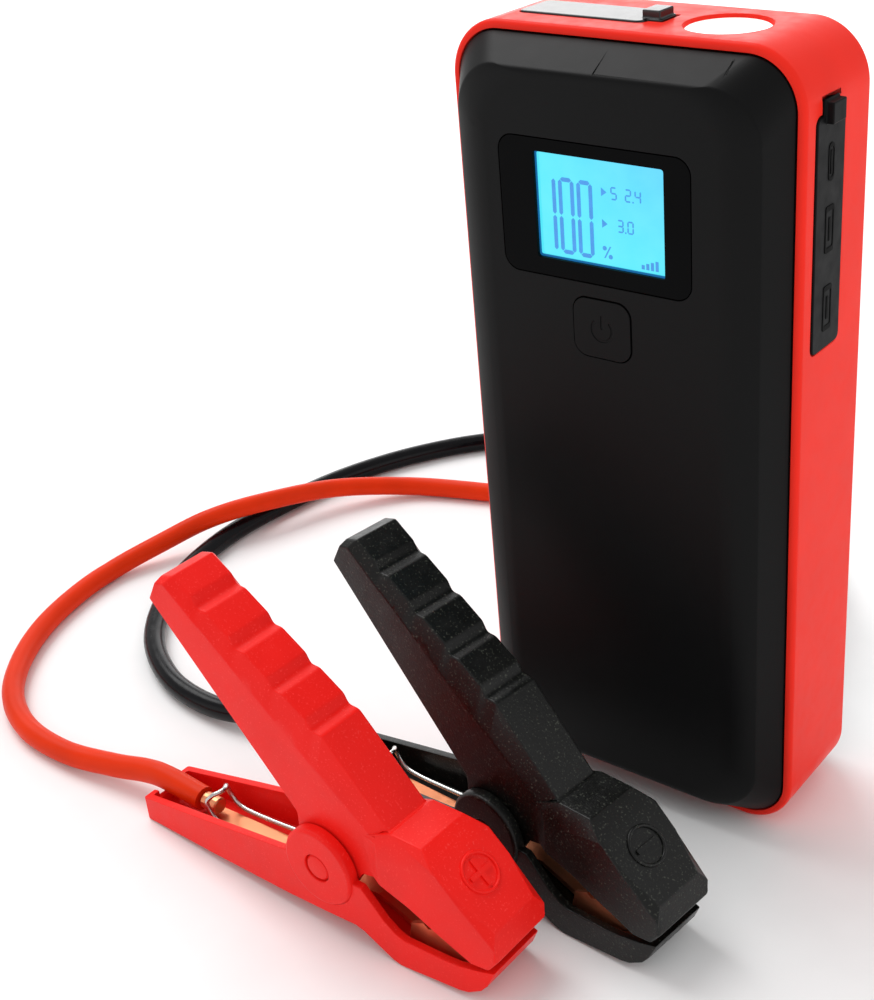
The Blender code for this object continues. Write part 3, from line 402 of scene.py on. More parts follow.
def split(obj, *planes):
    """Adds edges where (axis, place) planes cross, so the shading of a cut stays beside it."""
    work = bmesh.new()
    work.from_mesh(obj.data)
    for axis, place in planes:
        normal = Vector([float(axis == name) for name in "xyz"])
        bmesh.ops.bisect_plane(work, geom=work.verts[:] + work.edges[:] + work.faces[:],
                               plane_co=normal * place, plane_no=normal)
    work.to_mesh(obj.data)
    work.free()


def hand_over(obj, material, body, slot, *nodes, matrix=None, angle=32):
    """Scales a finished piece to metres, shades it and hands it to its body."""
    if matrix:
        obj.data.transform(matrix)
    obj.data.transform(Matrix.Scale(MM, 4))
    obj.data.materials.clear()
    obj.data.materials.append(material)
    obj.data.shade_smooth()
    obj.data.set_sharp_from_angle(angle=math.radians(angle))
    normals = obj.modifiers.new("normals", "WEIGHTED_NORMAL")
    normals.keep_sharp = True
    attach(obj, body)
    if nodes:
        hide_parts(*nodes)
    return obj


# ---------------------------------------------------------------------------
# the case
# ---------------------------------------------------------------------------
band_high = extent("mid_frame")[1]
WIDTH, HEIGHT, HALF_D = band_high.x * 2, band_high.z, band_high.y
SIDE_X, TOP_Z = band_high.x, band_high.z
FACE_Y = extent("front_cover")[0].y
REAR_Y = extent("back_cover")[1].y
CORNER, WALL, SEAM = 12.5, 1.8, 0.3
side_low, side_high = extent("side_port_cover")
top_low, top_high = extent("top_port_cover")
SIDE_Y = (side_low.y + side_high.y) / 2
TOP_Y = (top_low.y + top_high.y) / 2
lens_low, lens_high = extent("lamp_lens")
LAMP = ((lens_low.x + lens_high.x) / 2, (lens_low.y + lens_high.y) / 2)
LAMP_R = (lens_high.x - lens_low.x) / 2 + SEAM
button_low, button_high = extent("power_button")
BUTTON_Z = (button_low.z + button_high.z) / 2
window_low, window_high = extent("display_window")
WINDOW = ((window_low.x + window_high.x) / 2, (window_low.z + window_high.z) / 2)
WINDOW_SIZE = (window_high.x - window_low.x, window_high.z - window_low.z)
LCD_SIZE, LCD_Z = (31, 22.5), 146.9
USB_Z, USB_HALF = (128, 144.5), (3.2, 6.9)
INPUT_Z, INPUT_HALF = 158, (2.1, 4.9)
DC_X, DC_R = (-22, -8.5), 4.2
TAB, TAB_HALF = 3, 3.2
SIDE_FLAP_HALF, TOP_FLAP_HALF = 5.9, 5.5
POSTS = [(sx * 29, z) for sx in (-1, 1) for z in (14, 166)]
SEAT_R, RECESS_R, SCREW_WAY_R = 4.4, 3.0, 1.6


def frame_band():
    """The red frame, with soft outer edges, the port pockets and the lamp's hole."""
    round_r = 1.2
    edge = arc((round_r, round_r - HALF_D), round_r, 270, 180, 5)
    profile = [(WALL, -HALF_D)] + edge + [(u, -v) for u, v in reversed(edge)] + [(WALL, HALF_D)]
    rings = []
    for inset, y in profile:
        outline = rounded(WIDTH - 2 * inset, HEIGHT - 2 * inset, CORNER - inset,
                          (0, HEIGHT / 2), 18)
        rings.append([(x, y, z) for x, z in outline])
    band = loft("case_band", rings, closed=True)
    inner_x, inner_z = SIDE_X - WALL, TOP_Z - WALL
    side_end, top_end = side_high.z - TAB, top_high.x - TAB
    join(band,
         block("side_pad", (inner_x - 2, SIDE_Y - 7.1, side_low.z - 4.8),
               (inner_x + 0.2, SIDE_Y + 7.1, side_end + 4.6)),
         block("top_pad", (top_low.x + 1.2, TOP_Y - 9.9, inner_z - 2),
               (LAMP[0] + LAMP_R + 1.6, TOP_Y + 9.9, inner_z + 0.2)))
    deep, notch_half = 1.3, 3.6
    cut(band,
        prism("side_pocket",
              rounded(2 * (SIDE_FLAP_HALF + SEAM), side_end - side_low.z + 2 * SEAM, 1.8,
                      (SIDE_Y, (side_end + side_low.z) / 2), 6),
              SIDE_X - deep, SIDE_X + 5, "x"),
        block("side_notch", (SIDE_X - deep, SIDE_Y - notch_half, side_end - 1),
              (SIDE_X + 5, SIDE_Y + notch_half, side_end + 3.6)),
        prism("top_pocket",
              rounded(top_end - top_low.x + 2 * SEAM, 2 * (TOP_FLAP_HALF + SEAM), 1.8,
                      ((top_end + top_low.x) / 2, TOP_Y), 6),
              TOP_Z - deep, TOP_Z + 5, "z"),
        block("top_notch", (top_end - 1, TOP_Y - notch_half, TOP_Z - deep),
              (top_end + 3.6, TOP_Y + notch_half, TOP_Z + 5)),
        rod("lamp_hole", LAMP_R, (*LAMP, TOP_Z - 8), (*LAMP, TOP_Z + 5), 64))
    holes = [("input_hole", INPUT_Z, INPUT_HALF)] + [("usb_hole", z, USB_HALF) for z in USB_Z]
    for name, z, (half_y, half_z) in holes:
        cut(band, block(name, (inner_x - 5, SIDE_Y - half_y, z - half_z),
                        (SIDE_X, SIDE_Y + half_y, z + half_z)))
    for x in DC_X:
        cut(band, rod("dc_hole", DC_R, (x, TOP_Y, TOP_Z - 8), (x, TOP_Y, TOP_Z)))
    soften(band, 0.22, 2, 40)
    split(band, *[("y", SIDE_Y + v) for v in (-7, -4.1, 4.1, 7)], ("z", side_end + 4.1),
          ("z", side_low.z - 0.8), *[("y", TOP_Y + v) for v in (-9.6, -6.3, 6.3, 9.6)],
          ("x", top_low.x - 0.8), ("x", top_high.x + 1.1))
    hand_over(band, RED_SHELL, "pack", "red_plastic", "mid_frame")


def cover_rings(rings, edge_y, outward, steps=18):
    """Outlines of a cover from (side inset, end inset, side rise, end rise, corner radius)."""
    out = []
    for side, end, side_rise, end_rise, radius in rings:
        inset = WALL + SEAM
        outline = rounded(WIDTH - 2 * (inset + side), HEIGHT - 2 * (inset + end), radius,
                          (0, HEIGHT / 2), steps)
        points = []
        for i, (x, z) in enumerate(outline):
            quarter, step = divmod(i, steps + 1)
            upright = step / steps if quarter % 2 == 0 else 1 - step / steps
            rise = side_rise + (end_rise - side_rise) * upright
            points.append((x, edge_y + outward * rise, z))
        out.append(points)
    return out


def front_case():
    """Display-side cover: a flat bevel all round to a crease, then sides that curve back."""
    full = -HALF_D - FACE_Y
    curve = [(3.85, 4.65, 7.72), (4.7, 4.8, 7.9), (5.8, 5.05, 8.13), (7.2, 5.4, 8.32),
             (8.8, 5.8, 8.43), (10.4, 6.2, 8.485)]
    rings = [(13, 7, 6.5, 6.5, 11), (5.3, 6.0, 4.9, 6.2, 10), (1.9, 1.9, -1, -1, 8.6),
             (2, 2, -3, -3, 8.5), (0, 0, -3, -3, 10.4), (0, 0, -0.15, -0.15, 10.4),
             (0.1, 0.1, 0.1, 0.1, 10.4), (3.45, 4.35, 5.75, 7.25, 11.9), (3.6, 4.5, 6.0, 7.5, 12)]
    for side, end, end_rise in curve:
        rings.append((side, end, full - 2.5 * ((12 - side) / 8.4) ** 2, end_rise, 12 + side / 14))
    rings.append((12, 6.5, full, full, 13))
    cover = loft("case_front", cover_rings(rings, -HALF_D, -1))
    pocket = rounded(WINDOW_SIZE[0] + 0.4, WINDOW_SIZE[1] + 0.4, 3.7, WINDOW)
    opening = rounded(LCD_SIZE[0] + 7, LCD_SIZE[1] + 3.8, 1, (0, LCD_Z), 3)
    hole = rounded(14.5, 13.5, 3.45, (0, BUTTON_Z))
    cut(cover, prism("pocket", pocket, FACE_Y - 5, FACE_Y + 1.2, "y"),
        prism("opening", opening, FACE_Y, FACE_Y + 5, "y"),
        prism("button_hole", hole, FACE_Y - 5, FACE_Y + 5, "y"))
    start, stop = (-HALF_D + 0.6, TOP_Z - 1.7), (FACE_Y + 0.9, TOP_Z - 6.9)
    for x in (-0.5, 27):
        hairline = [start, stop, (stop[0] - 1, stop[1] + 1.6), (start[0] - 1, start[1] + 1.6)]
        cut(cover, prism("hairline", hairline, x - 0.11, x + 0.11, "x"))
    soften(cover, 0.16, 2, 50)
    hand_over(cover, BLACK_SHELL, "pack", "black_plastic", "front_cover", angle=40)


def back_case():
    """The rear cover with the jump socket's mouth, and the four screws in their seats."""
    rings = [(7, 7, 2, 2, 7), (3.2, 3.2, 1.0, 1.0, 8), (2, 2, -3, -3, 8.5), (0, 0, -3, -3, 10.4),
             (0, 0, -0.15, -0.15, 10.4), (0.08, 0.08, 0.1, 0.1, 10.4), (1, 1, 2.1, 2.1, 10.1),
             (1.35, 1.35, 2.65, 2.65, 10), (1.8, 1.8, 3.1, 3.1, 9.8), (2.4, 2.4, 3.5, 3.5, 9.6),
             (3.2, 3.2, 3.85, 3.85, 9.3), (4.2, 4.2, REAR_Y - HALF_D, REAR_Y - HALF_D, 9.1)]
    cover = loft("case_back", cover_rings(rings, HALF_D, 1))
    socket_low, socket_high = extent("jump_socket")
    middle = (0, (socket_low.z + socket_high.z) / 2)
    mouth = rounded(socket_high.x * 2 + 0.4, socket_high.z - socket_low.z + 0.4, 2.1, middle)
    cut(cover, prism("mouth", mouth, 10, 30, "y"))
    for x, z in POSTS:
        join(cover, rod("seat", SEAT_R, (x, REAR_Y - 7.65, z), (x, REAR_Y - 0.4, z)))
        cut(cover, rod("recess", RECESS_R, (x, REAR_Y - 4.85, z), (x, 30, z)),
            rod("screw_way", SCREW_WAY_R, (x, 5, z), (x, 30, z), 20))
    soften(cover, 0.2, 2, 50)
    hand_over(cover, BLACK_SHELL, "pack", "black_plastic", "back_cover", angle=40)
    screws, top = [], REAR_Y - 2.55
    profile = [(0, 0), (1.5, 0), (2.2, -0.15), (2.6, -0.6), (2.6, -1.6), (1.25, -1.9),
               (1.25, -19.2), (0, -20)]
    for x, z in POSTS:
        screw = lathe("case_screws", profile, towards((x, top, z), (0, 1, 0)), 32)
        cut(screw, block("slot_a", (x - 1.5, top - 1, z - 0.35), (x + 1.5, top + 1, z + 0.35)),
            block("slot_b", (x - 0.35, top - 1, z - 1.5), (x + 0.35, top + 1, z + 1.5)))
        screws.append(screw)
    hand_over(join(*screws), STEEL, "pack", "steel", *[f"case_screw_{i}" for i in (1, 2, 3, 4)])


# ---------------------------------------------------------------------------
# display and button
# ---------------------------------------------------------------------------
SEGMENTS = {
    "0": "abcdef", "1": "bc", "2": "abged", "3": "abgcd", "4": "fgbc", "5": "afgcd",
    "6": "afgedc", "7": "abc", "8": "abcdefg", "9": "abcdfg",
}


def strokes(text, left, base, width, height, pitch, thick):
    """Outlines of seven-segment figures, each segment a pointed bar."""
    bars = {"a": (0, 2, 1, 2), "b": (1, 1, 1, 2), "c": (1, 0, 1, 1), "d": (0, 0, 1, 0),
            "e": (0, 0, 0, 1), "f": (0, 1, 0, 2), "g": (0, 1, 1, 1)}
    half, outlines = thick / 2, []
    for index, figure in enumerate(text):
        x0 = left + index * pitch
        if figure == ".":
            outlines.append([(x0, base - half), (x0 + thick, base - half),
                             (x0 + thick, base + half), (x0, base + half)])
        for name in SEGMENTS.get(figure, ""):
            a, b, c, d = bars[name]
            p = Vector((x0 + a * width, base + b * height / 2))
            q = Vector((x0 + c * width, base + d * height / 2))
            ahead = (q - p).normalized()
            side = Vector((-ahead.y, ahead.x)) * half
            p, q = p + ahead * thick * 0.12, q - ahead * thick * 0.12
            inner_p, inner_q = p + ahead * half, q - ahead * half
            outlines.append([tuple(v) for v in (p, inner_p - side, inner_q - side, q,
                                                inner_q + side, inner_p + side)])
    return outlines


def stamped(name, outlines, front, thick):
    """One mesh of several thin raised outlines that face the front."""
    points, faces = [], []
    for outline in outlines:
        n, base = len(outline), len(points)
        points += [(u, front + thick, v) for u, v in outline] + [(u, front, v) for u, v in outline]
        faces += [tuple(base + i for i in range(n)), tuple(base + n + i for i in range(n))[::-1]]
        faces += [(base + i, base + (i + 1) % n, base + n + (i + 1) % n, base + n + i)
                  for i in range(n)]
    return solid(name, points, faces)


def display():
    """The window, the lit panel behind it with a band of painted shade round its edge, and the figures and marks
    that the panel shows.
    """
    width, height = WINDOW_SIZE
    window = prism("display_glass", rounded(width, height, 3.5, WINDOW), FACE_Y + 0.02,
                   window_high.y, "y")
    cut(window, prism("hole", rounded(*LCD_SIZE, 0.6, (0, LCD_Z), 4), FACE_Y - 1, FACE_Y + 2, "y"))
    soften(window, 0.14, 2, 40)
    hand_over(window, GLOSS, "pack", "gloss_black", "display_window")
    low, high = extent("lcd_panel")
    outline = rounded(high.x - low.x, high.z - low.z, 0.4, (0, (low.z + high.z) / 2), 4)
    panel = soften(prism("display_panel", outline, low.y, high.y, "y"), 0.12)
    lcd_low, lcd_high = Vector((-15.5, 0, 135.6)), Vector((15.5, 0, 158.2))
    hand_over(panel, display_glow("display_cyan", lcd_low, lcd_high), "pack", "lcd_panel",
              "lcd_panel")
    # Painted shade: a darker blue band glows round the panel's edge, where the window's rim shades the sunken
    # panel.
    rim = rounded(LCD_SIZE[0] + 1.4, LCD_SIZE[1] + 1.4, 0.5, (0, LCD_Z), 4)
    shade_band = prism("display_shade_band", rim, low.y - 0.12, low.y - 0.02, "y")
    cut(shade_band, prism("inner", rounded(LCD_SIZE[0] - 0.5, LCD_SIZE[1] - 0.7, 0.4, (0, LCD_Z), 4),
                      low.y - 1, low.y + 1, "y"))
    hand_over(shade_band, glow("display_edge_shade", (0.01, 0.16, 0.42), 0.7), "pack", "lcd_panel")
    figures = strokes("100", -14.3, 137.3, 2.9, 15.4, 4.5, 0.9)
    small = []
    for text, left, base, pitch in (("5", 2.6, 150.2, 1.9), ("24", 6.0, 150.2, 2.3),
                                    (".", 7.6, 150.2, 1), ("30", 4.0, 143.6, 2.4),
                                    (".", 5.65, 143.6, 1)):
        small += strokes(text, left, base, 1.2, 2.4, pitch, 0.32)
    for z in (151.4, 144.8):
        small.append([(0.2, z - 0.9), (1.5, z), (0.2, z + 0.9)])
    for x, z in ((0.6, 139.6), (2.0, 137.9)):
        small.append(arc((x, z), 0.5, 0, 360, 12)[:-1])
    small.append([(0.4, 137.5), (0.75, 137.5), (2.2, 140.1), (1.85, 140.1)])
    for i in range(4):
        small.append([(9.4 + 1.1 * i, 136.6), (10.1 + 1.1 * i, 136.6),
                      (10.1 + 1.1 * i, 137.5 + 0.4 * i), (9.4 + 1.1 * i, 137.5 + 0.4 * i)])
    marks = stamped("display_figures", figures + small, low.y - 0.06, 0.05)
    hand_over(marks, glow("display_blue", (0.045, 0.28, 0.72), 0.75), "pack", "lcd_panel")


def button():
    """The start button, with its mark sunk into the cap."""
    cap = prism("start_button", rounded(14, 13, 3.2, (0, BUTTON_Z)), button_low.y, FACE_Y + 2.7,
                "y")
    join(cap, prism("flange", rounded(16.4, 15.4, 4.2, (0, BUTTON_Z)), FACE_Y + 2.3, FACE_Y + 3.3,
                    "y"),
         rod("stem", 2, (0, FACE_Y + 2.8, BUTTON_Z), (0, FACE_Y + 3.45, BUTTON_Z)))
    mark = (0, BUTTON_Z - 0.1)
    outer, inner = arc(mark, 2.75, 135, 405, 36), arc(mark, 2.25, 405, 135, 36)
    deep = button_low.y + 0.18
    cut(cap, prism("ring", outer + inner, button_low.y - 1, deep, "y"),
        prism("bar", rounded(0.55, 3.0, 0.2, (0, BUTTON_Z + 1.6), 3), button_low.y - 1, deep, "y"))
    soften(cap, 0.12, 2, 50)
    hand_over(cap, BLACK_SHELL, "button", "black_plastic", "power_button")


# ---------------------------------------------------------------------------
# port covers and lamp
# ---------------------------------------------------------------------------
def flap_outline(start, end, half, tab):
    """A strip from its hinge end to its round end, with the tab that the finger catches."""
    corner = 1.5
    return (arc((start + corner, half - corner), corner, 90, 180, 6)
            + arc((start + corner, corner - half), corner, 180, 270, 6)
            + arc((end - corner, corner - half), corner, 270, 360, 6)
            + [(end, -tab)] + arc((end + 2.4, 0.6 - tab), 0.6, 270, 360, 4)
            + arc((end + 2.4, tab - 0.6), 0.6, 0, 90, 4) + [(end, tab)]
            + arc((end - corner, half - corner), corner, 0, 90, 6))


def port_covers():
    """The rubber covers on the side and the top. The side one has plain outlines of the sockets."""
    end, outer = side_high.z - TAB, SIDE_X + 0.3
    outline = [(v + SIDE_Y, u)
               for u, v in flap_outline(side_low.z, end, SIDE_FLAP_HALF, TAB_HALF)]
    flap = prism("side_flap", outline, outer - 1.2, outer, "x")
    join(flap, block("pull", (outer - 0.6, SIDE_Y - 2.7, end - 1.6),
                     (outer + 1.6, SIDE_Y + 2.7, end + 2.6)))
    soften(flap, 0.3, 3, 40)
    hand_over(flap, RUBBER, "side_cover", "black_rubber", "side_port_cover")
    marks = [rounded(3.6, 9.6, 0.5, (SIDE_Y, z), 4) for z in USB_Z]
    marks.append(rounded(2.4, 7.6, 1.1, (SIDE_Y, INPUT_Z), 6))
    icons = []
    for outline in marks:
        icon = prism("side_icons", outline, outer - 0.1, outer + 0.12, "x")
        centre = Vector((sum(p[0] for p in outline), sum(p[1] for p in outline))) / len(outline)
        small = [tuple(centre + (Vector(p) - centre) * 0.78) for p in outline]
        cut(icon, prism("inside", [(u, v) for u, v in small], outer - 1, outer + 1, "x"))
        join(icon, block("tongue", (outer - 0.1, SIDE_Y - 0.35, centre.y - 2.4),
                         (outer + 0.12, SIDE_Y + 0.35, centre.y + 2.4)))
        icons.append(icon)
    hand_over(join(*icons), INK, "side_cover", "black_rubber")
    end, outer = top_high.x - TAB, TOP_Z + 0.3
    outline = [(u, v + TOP_Y) for u, v in flap_outline(top_low.x, end, TOP_FLAP_HALF, TAB_HALF)]
    flap = prism("top_flap", outline, outer - 1.2, outer, "z")
    join(flap, block("pull", (end - 1.6, TOP_Y - 2.7, outer - 0.6),
                     (end + 2.6, TOP_Y + 2.7, outer + 1.6)))
    soften(flap, 0.3, 3, 40)
    hand_over(flap, LIT_TOP_RUBBER, "top_cover", "black_rubber", "top_port_cover")


def lamp():
    """The work light: a ribbed lens over a polished cup."""
    place = Matrix.Translation((*LAMP, TOP_Z))
    r = LAMP_R - SEAM
    ribs = [(0, -1.0)]
    for i in range(6):
        near = 0.6 + i
        ribs += [(near, -0.98), (near + 0.5, -0.88), (near + 0.9, -0.98)]
    profile = ribs + [(r - 2, -0.9), (r - 1.5, -0.72), (r - 0.3, -0.7), (r, -0.9), (r, -2.2),
                      (0, -2.2)]
    lens = lathe("work_lens", profile, place, 72)
    hand_over(lens, LENS, "pack", "lamp_lens", "lamp_lens")
    cup = [(r - 1, -2.5), (r, -2.5), (r, -3.4), (r - 1, -3.4), (6.6, -6.2), (4.2, -10), (1.8, -10),
           (1.8, -9.2), (3.6, -9.2), (5.8, -6.0)]
    hand_over(lathe("work_reflector", cup, place, 48), MIRROR, "pack", "reflector",
              "lamp_reflector")


# ---------------------------------------------------------------------------
# plug and leads
# ---------------------------------------------------------------------------
SOCKET_Z, CONTACT_X, PLUG_REAR, CABLE_R = 25, 4.8, 36, 3


def plug():
    """The plug and the boot on each lead; returns the boots by colour."""
    grip_y = REAR_Y + SEAM
    body = prism("lead_plug", rounded(18.8, 9.4, 1.4, (0, SOCKET_Z), 8), 8.6, grip_y + 1, "y")
    soften(body, 0.3)
    grip = soften(prism("grip", rounded(24.4, 14.6, 4, (0, SOCKET_Z), 12), grip_y, PLUG_REAR, "y"),
                  1.0, 4, 50)
    join(body, grip)
    for i in range(4):
        for side in (-1, 1):
            groove = (side * 12.3, grip_y + 5.2 + 3 * i)
            cut(body, rod("groove", 0.7, (*groove, SOCKET_Z - 5), (*groove, SOCKET_Z + 5), 16))
    for x in (-CONTACT_X, CONTACT_X):
        cut(body, rod("way", 3.4, (x, 5, SOCKET_Z), (x, 45, SOCKET_Z)))
    hand_over(body, BLACK_SHELL, "leads", "black_plastic", "jump_plug")
    boots = {}
    for colour, x in (("red", -CONTACT_X), ("black", CONTACT_X)):
        start, inner = PLUG_REAR + SEAM, CABLE_R + SEAM
        rings = [(inner, start)]
        for i in range(3):
            y, r = start + 4 * i, 4.5 - 0.2 * i
            rings += [(r, y + 0.2), (r, y + 2.2), (r - 0.2, y + 2.4), (r - 0.5, y + 2.6),
                      (r - 0.5, y + 3.8)]
        rings += [(rings[-1][0], start + 12), (inner, start + 12)]
        boot = lathe(f"boot_{colour}", rings, towards((x, 0, SOCKET_Z), (0, 1, 0)), 40)
        boots[colour] = hand_over(boot, RUBBER, "leads", "black_rubber", f"plug_boot_{colour}")
    return boots


# Where each lead lies, from the plug to the clamp, in millimetres.
ROUTES = {
    "red": [
        (-4.8, 33, 25), (-4.8, 45, 25), (-4.8, 55, 24.9), (-6.5, 66, 21), (-13, 79, 12),
        (-25, 89, 5), (-43, 94, 3), (-68, 93, 3), (-94, 88, 3), (-119, 81, 3), (-143, 71, 3.6),
        (-160, 52.5, 7), (-170.5, 30, 9.6), (-178, 14, 9.4), (-185, 0, 6), (-190, -19, 3),
        (-186, -42, 3), (-177, -61, 3), (-163.5, -76.5, 3), (-147, -85, 3),
        (-129, -87, 3.2), (-111.5, -85.4, 5), (-100.5, -84.2, 7), (-92.5, -84.2, 8),
        (-79.5, -84.5, 7.3),
    ],
    "black": [
        (4.8, 33, 25), (4.8, 45, 25), (4.8, 55, 25), (4, 68, 21), (-1, 86, 10.5),
        (-14, 107, 3.6), (-38, 125, 3), (-64, 132.5, 3), (-92, 133, 3), (-118, 126, 3),
        (-140.5, 112, 3), (-157, 91, 3), (-168, 66, 3), (-173, 39, 3), (-173.5, 13, 3),
        (-166.5, -13.5, 3), (-151, -36, 3), (-130.5, -49, 3), (-109.5, -52.6, 3.4), (-90, -50, 6),
        (-78.5, -48.9, 7.6), (-67, -49.8, 8), (-54.2, -51.4, 7.3),
    ],
}


def smooth(route, steps):
    """Points on a smooth curve through the route's own points."""
    ends = [2 * route[0] - route[1], *route, 2 * route[-1] - route[-2]]
    fine = []
    for a, b, c, d in zip(ends, ends[1:], ends[2:], ends[3:]):
        for i in range(steps):
            t = i / steps
            fine.append(0.5 * (2 * b + (c - a) * t + (2 * a - 5 * b + 4 * c - d) * t**2
                               + (3 * b - a - 3 * c + d) * t**3))
    return fine + [route[-1]]


def wire(name, runs, radius, material, sides=5):
    """Round wire along one or more runs of points in metres."""
    curve = bpy.data.curves.new(name, "CURVE")
    curve.dimensions = "3D"
    curve.bevel_depth = radius * MM
    curve.bevel_resolution = sides
    curve.use_fill_caps = True
    for points in runs:
        spline = curve.splines.new("POLY")
        spline.points.add(len(points) - 1)
        for point, place in zip(spline.points, points):
            point.co = (*place, 1)
        spline.use_smooth = True
    curve.materials.append(material)
    obj = bpy.data.objects.new(name, curve)
    bpy.context.scene.collection.objects.link(obj)
    return obj


def leads(boots):
    """The two leads along their routes, kept on the floor where the smooth curve dips."""
    for colour, route in ROUTES.items():
        points = smooth([Vector(p) * MM for p in route], 8)
        for point in points:
            point.z = max(point.z, CABLE_R * MM)
        lead = wire(f"lead_{colour}", [points], CABLE_R, JACKET[colour], 6)
        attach(lead, "leads")
        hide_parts(f"{colour}_cable")


# ---------------------------------------------------------------------------
# clamps: along runs from the lower lever's end to the jaws, then across, then up
# ---------------------------------------------------------------------------
PIVOT = (63.5, 17.4)
EAR_R, EAR_OUT = 9.7, 11
HALF, NOSE_HALF, RIDGE = 7.7, 9.2, 5.9
PIN_BORE_R, WIRE_R = 2.3, 0.6


def clamp_place(colour):
    """Stands a clamp's own axes on its joint: the pivot's place and the way the clamp points."""
    joint = next(j for j in frame["joints"] if j["name"] == f"{colour}_clamp_open")
    x, y, _ = joint["pos_m"]
    across = joint["axis"]
    heading = math.atan2(across[0], -across[1])
    return (Matrix.Translation((x / MM, y / MM, 0)) @ Matrix.Rotation(heading, 4, "Z")
            @ Matrix.Translation((-PIVOT[0], 0, 0)))


def between(line, share):
    """The point at a share of a polyline's length."""
    spans = [math.dist(a, b) for a, b in zip(line, line[1:])]
    goal = share * sum(spans)
    for (a, b), span in zip(zip(line, line[1:]), spans):
        if goal <= span:
            return (a[0] + (b[0] - a[0]) * goal / span, a[1] + (b[1] - a[1]) * goal / span)
        goal -= span
    return line[-1]


def handle(name):
    """The upper lever's hollow handle: rounded finger channels across its back, soft shoulders."""
    foot = [(18.8, 70.2), (56.2, 27.6)] + arc(PIVOT, 8.4, 205, 322, 14) + [(74.2, 18.6), (82, 20.2)]
    start, stop = (66, 50.3), (25.8, 77.2)
    length = math.dist(start, stop)
    inward = ((start[1] - stop[1]) / length, (stop[0] - start[0]) / length)
    steps, channels, channel_half, depth = 110, (8.7, 20.9, 33.1, 45.3), 2.8, 1.15
    edge = [(64.5, 41.5), (60, 45), (24.4, 75.4)]
    back, shoulder = [], []
    for i in range(steps + 1):
        share = i / steps
        near = min(abs(length * (1 - share) - c) for c in channels)
        dip = depth * math.cos(math.pi * near / 2 / channel_half) ** 2 if near < channel_half else 0
        back.append((start[0] + (stop[0] - start[0]) * share + inward[0] * dip,
                     start[1] + (stop[1] - start[1]) * share + inward[1] * dip))
        shoulder.append(between(edge, share))
    full = foot + [(84, 31), (81.8, 33.2)] + back + [(22.2, 76.2)]
    lower = foot + [(84, 30), (78, 31)] + shoulder + [(21.6, 75.0)]
    rings = []
    for across in (-HALF, -7.5, -7.0, -6.4, -RIDGE, RIDGE, 6.4, 7.0, 7.5, HALF):
        down = (abs(across) - RIDGE) / (HALF - RIDGE)
        rings.append([(a[0] + (b[0] - a[0]) * down, across, a[1] + (b[1] - a[1]) * down)
                      for a, b in zip(full, lower)])
    return loft(name, rings)


def nose(name):
    """The wide block over the upper jaw, with its sloping front and the chamfers beside it."""
    outer = [(80.4, 19.7, 9.2), (88.2, 17.2, 9.2), (95.1, 14.1, 9.2), (104.4, 10.3, 9.2),
             (108.6, 10.6, 9.0), (110.5, 13.2, 8.7), (110.8, 16.4, 8.6), (101.9, 24.8, 9.0),
             (96.8, 30.0, 9.1), (96.2, 30.3, 9.1), (82, 28.0, 9.2), (81, 26.5, 9.2)]
    inner = [(79.6, 19.8, 8.9), (88.2, 17.0, 8.8), (95.1, 13.9, 8.8), (104.4, 10.1, 8.8),
             (108.8, 10.3, 8.5), (111.0, 13.2, 8.0), (109.7, 19.2, 6.5), (102.0, 25.9, 8.7),
             (96.5, 30.6, 8.8), (91.8, 33.2, 6.9), (83.5, 33.2, 6.9), (79.6, 30.2, 8.2)]
    waist = [(s, z, min(w - 0.5, 7.4)) for s, z, w in inner]
    waist[0], waist[-1] = (76, 21.0, 7.6), (76, 30.4, 7.5)
    order = ((-1, outer), (-1, inner), (-1, waist), (1, waist), (1, inner), (1, outer))
    rings = [[(s, sign * w, z) for s, z, w in ring] for sign, ring in order]
    return loft(name, rings)


def sign_on_nose(colour, lever):
    """The raised ring on the nose's slope, with a plus in the red one and a minus in the black."""
    ahead, normal = Vector((0.757, 0, -0.654)), Vector((0.654, 0, 0.757))
    turn = Matrix((ahead, Vector((0, 1, 0)), normal)).transposed().to_4x4()
    place = Matrix.Translation((101.2, 0, 26.57)) @ turn
    marks = [lathe("ring", arc((4.3, 0.12), 0.42, 0, 360, 10)[:-1], place, 48)]
    bar_half = (0.55, 3.2)
    for half_u, half_v in [bar_half] + ([bar_half[::-1]] if colour == "red" else []):
        bar = prism("bar", rounded(2 * half_u, 2 * half_v, 0.3, steps=4), -0.4, 0.52, "z")
        bar.data.transform(place)
        marks.append(bar)
    join(lever, *marks)


def upper_lever(colour, place):
    """The handle and the nose in one, hollow below, with the bore for the pin."""
    lever = handle(f"{colour}_handle")
    join(lever, nose("nose"))
    inside = [(10, 66), (10, 0), (76, 0), (80, 24), (79.6, 30.8), (64.6, 47.6), (26.6, 73.0),
              (22.4, 69.4)]
    mouth = [(82.6, 15), (82.6, 3), (106.5, 3), (108.5, 13.6), (95, 28.4), (91.5, 31), (84.8, 31),
             (82.6, 28)]
    inner = HALF - 1.8
    cut(lever, prism("inside", inside, -inner, inner, "y"),
        prism("mouth", mouth, 1.9 - NOSE_HALF, NOSE_HALF - 1.9, "y"),
        rod("bore", PIN_BORE_R, (PIVOT[0], -20, PIVOT[1]), (PIVOT[0], 20, PIVOT[1])))
    soften(lever, 0.3, 2, 28)
    sign_on_nose(colour, lever)
    hand_over(lever, CLAMP[colour], f"{colour}_clamp_top", f"clamp_{colour}",
              f"{colour}_upper_lever", matrix=place, angle=40)


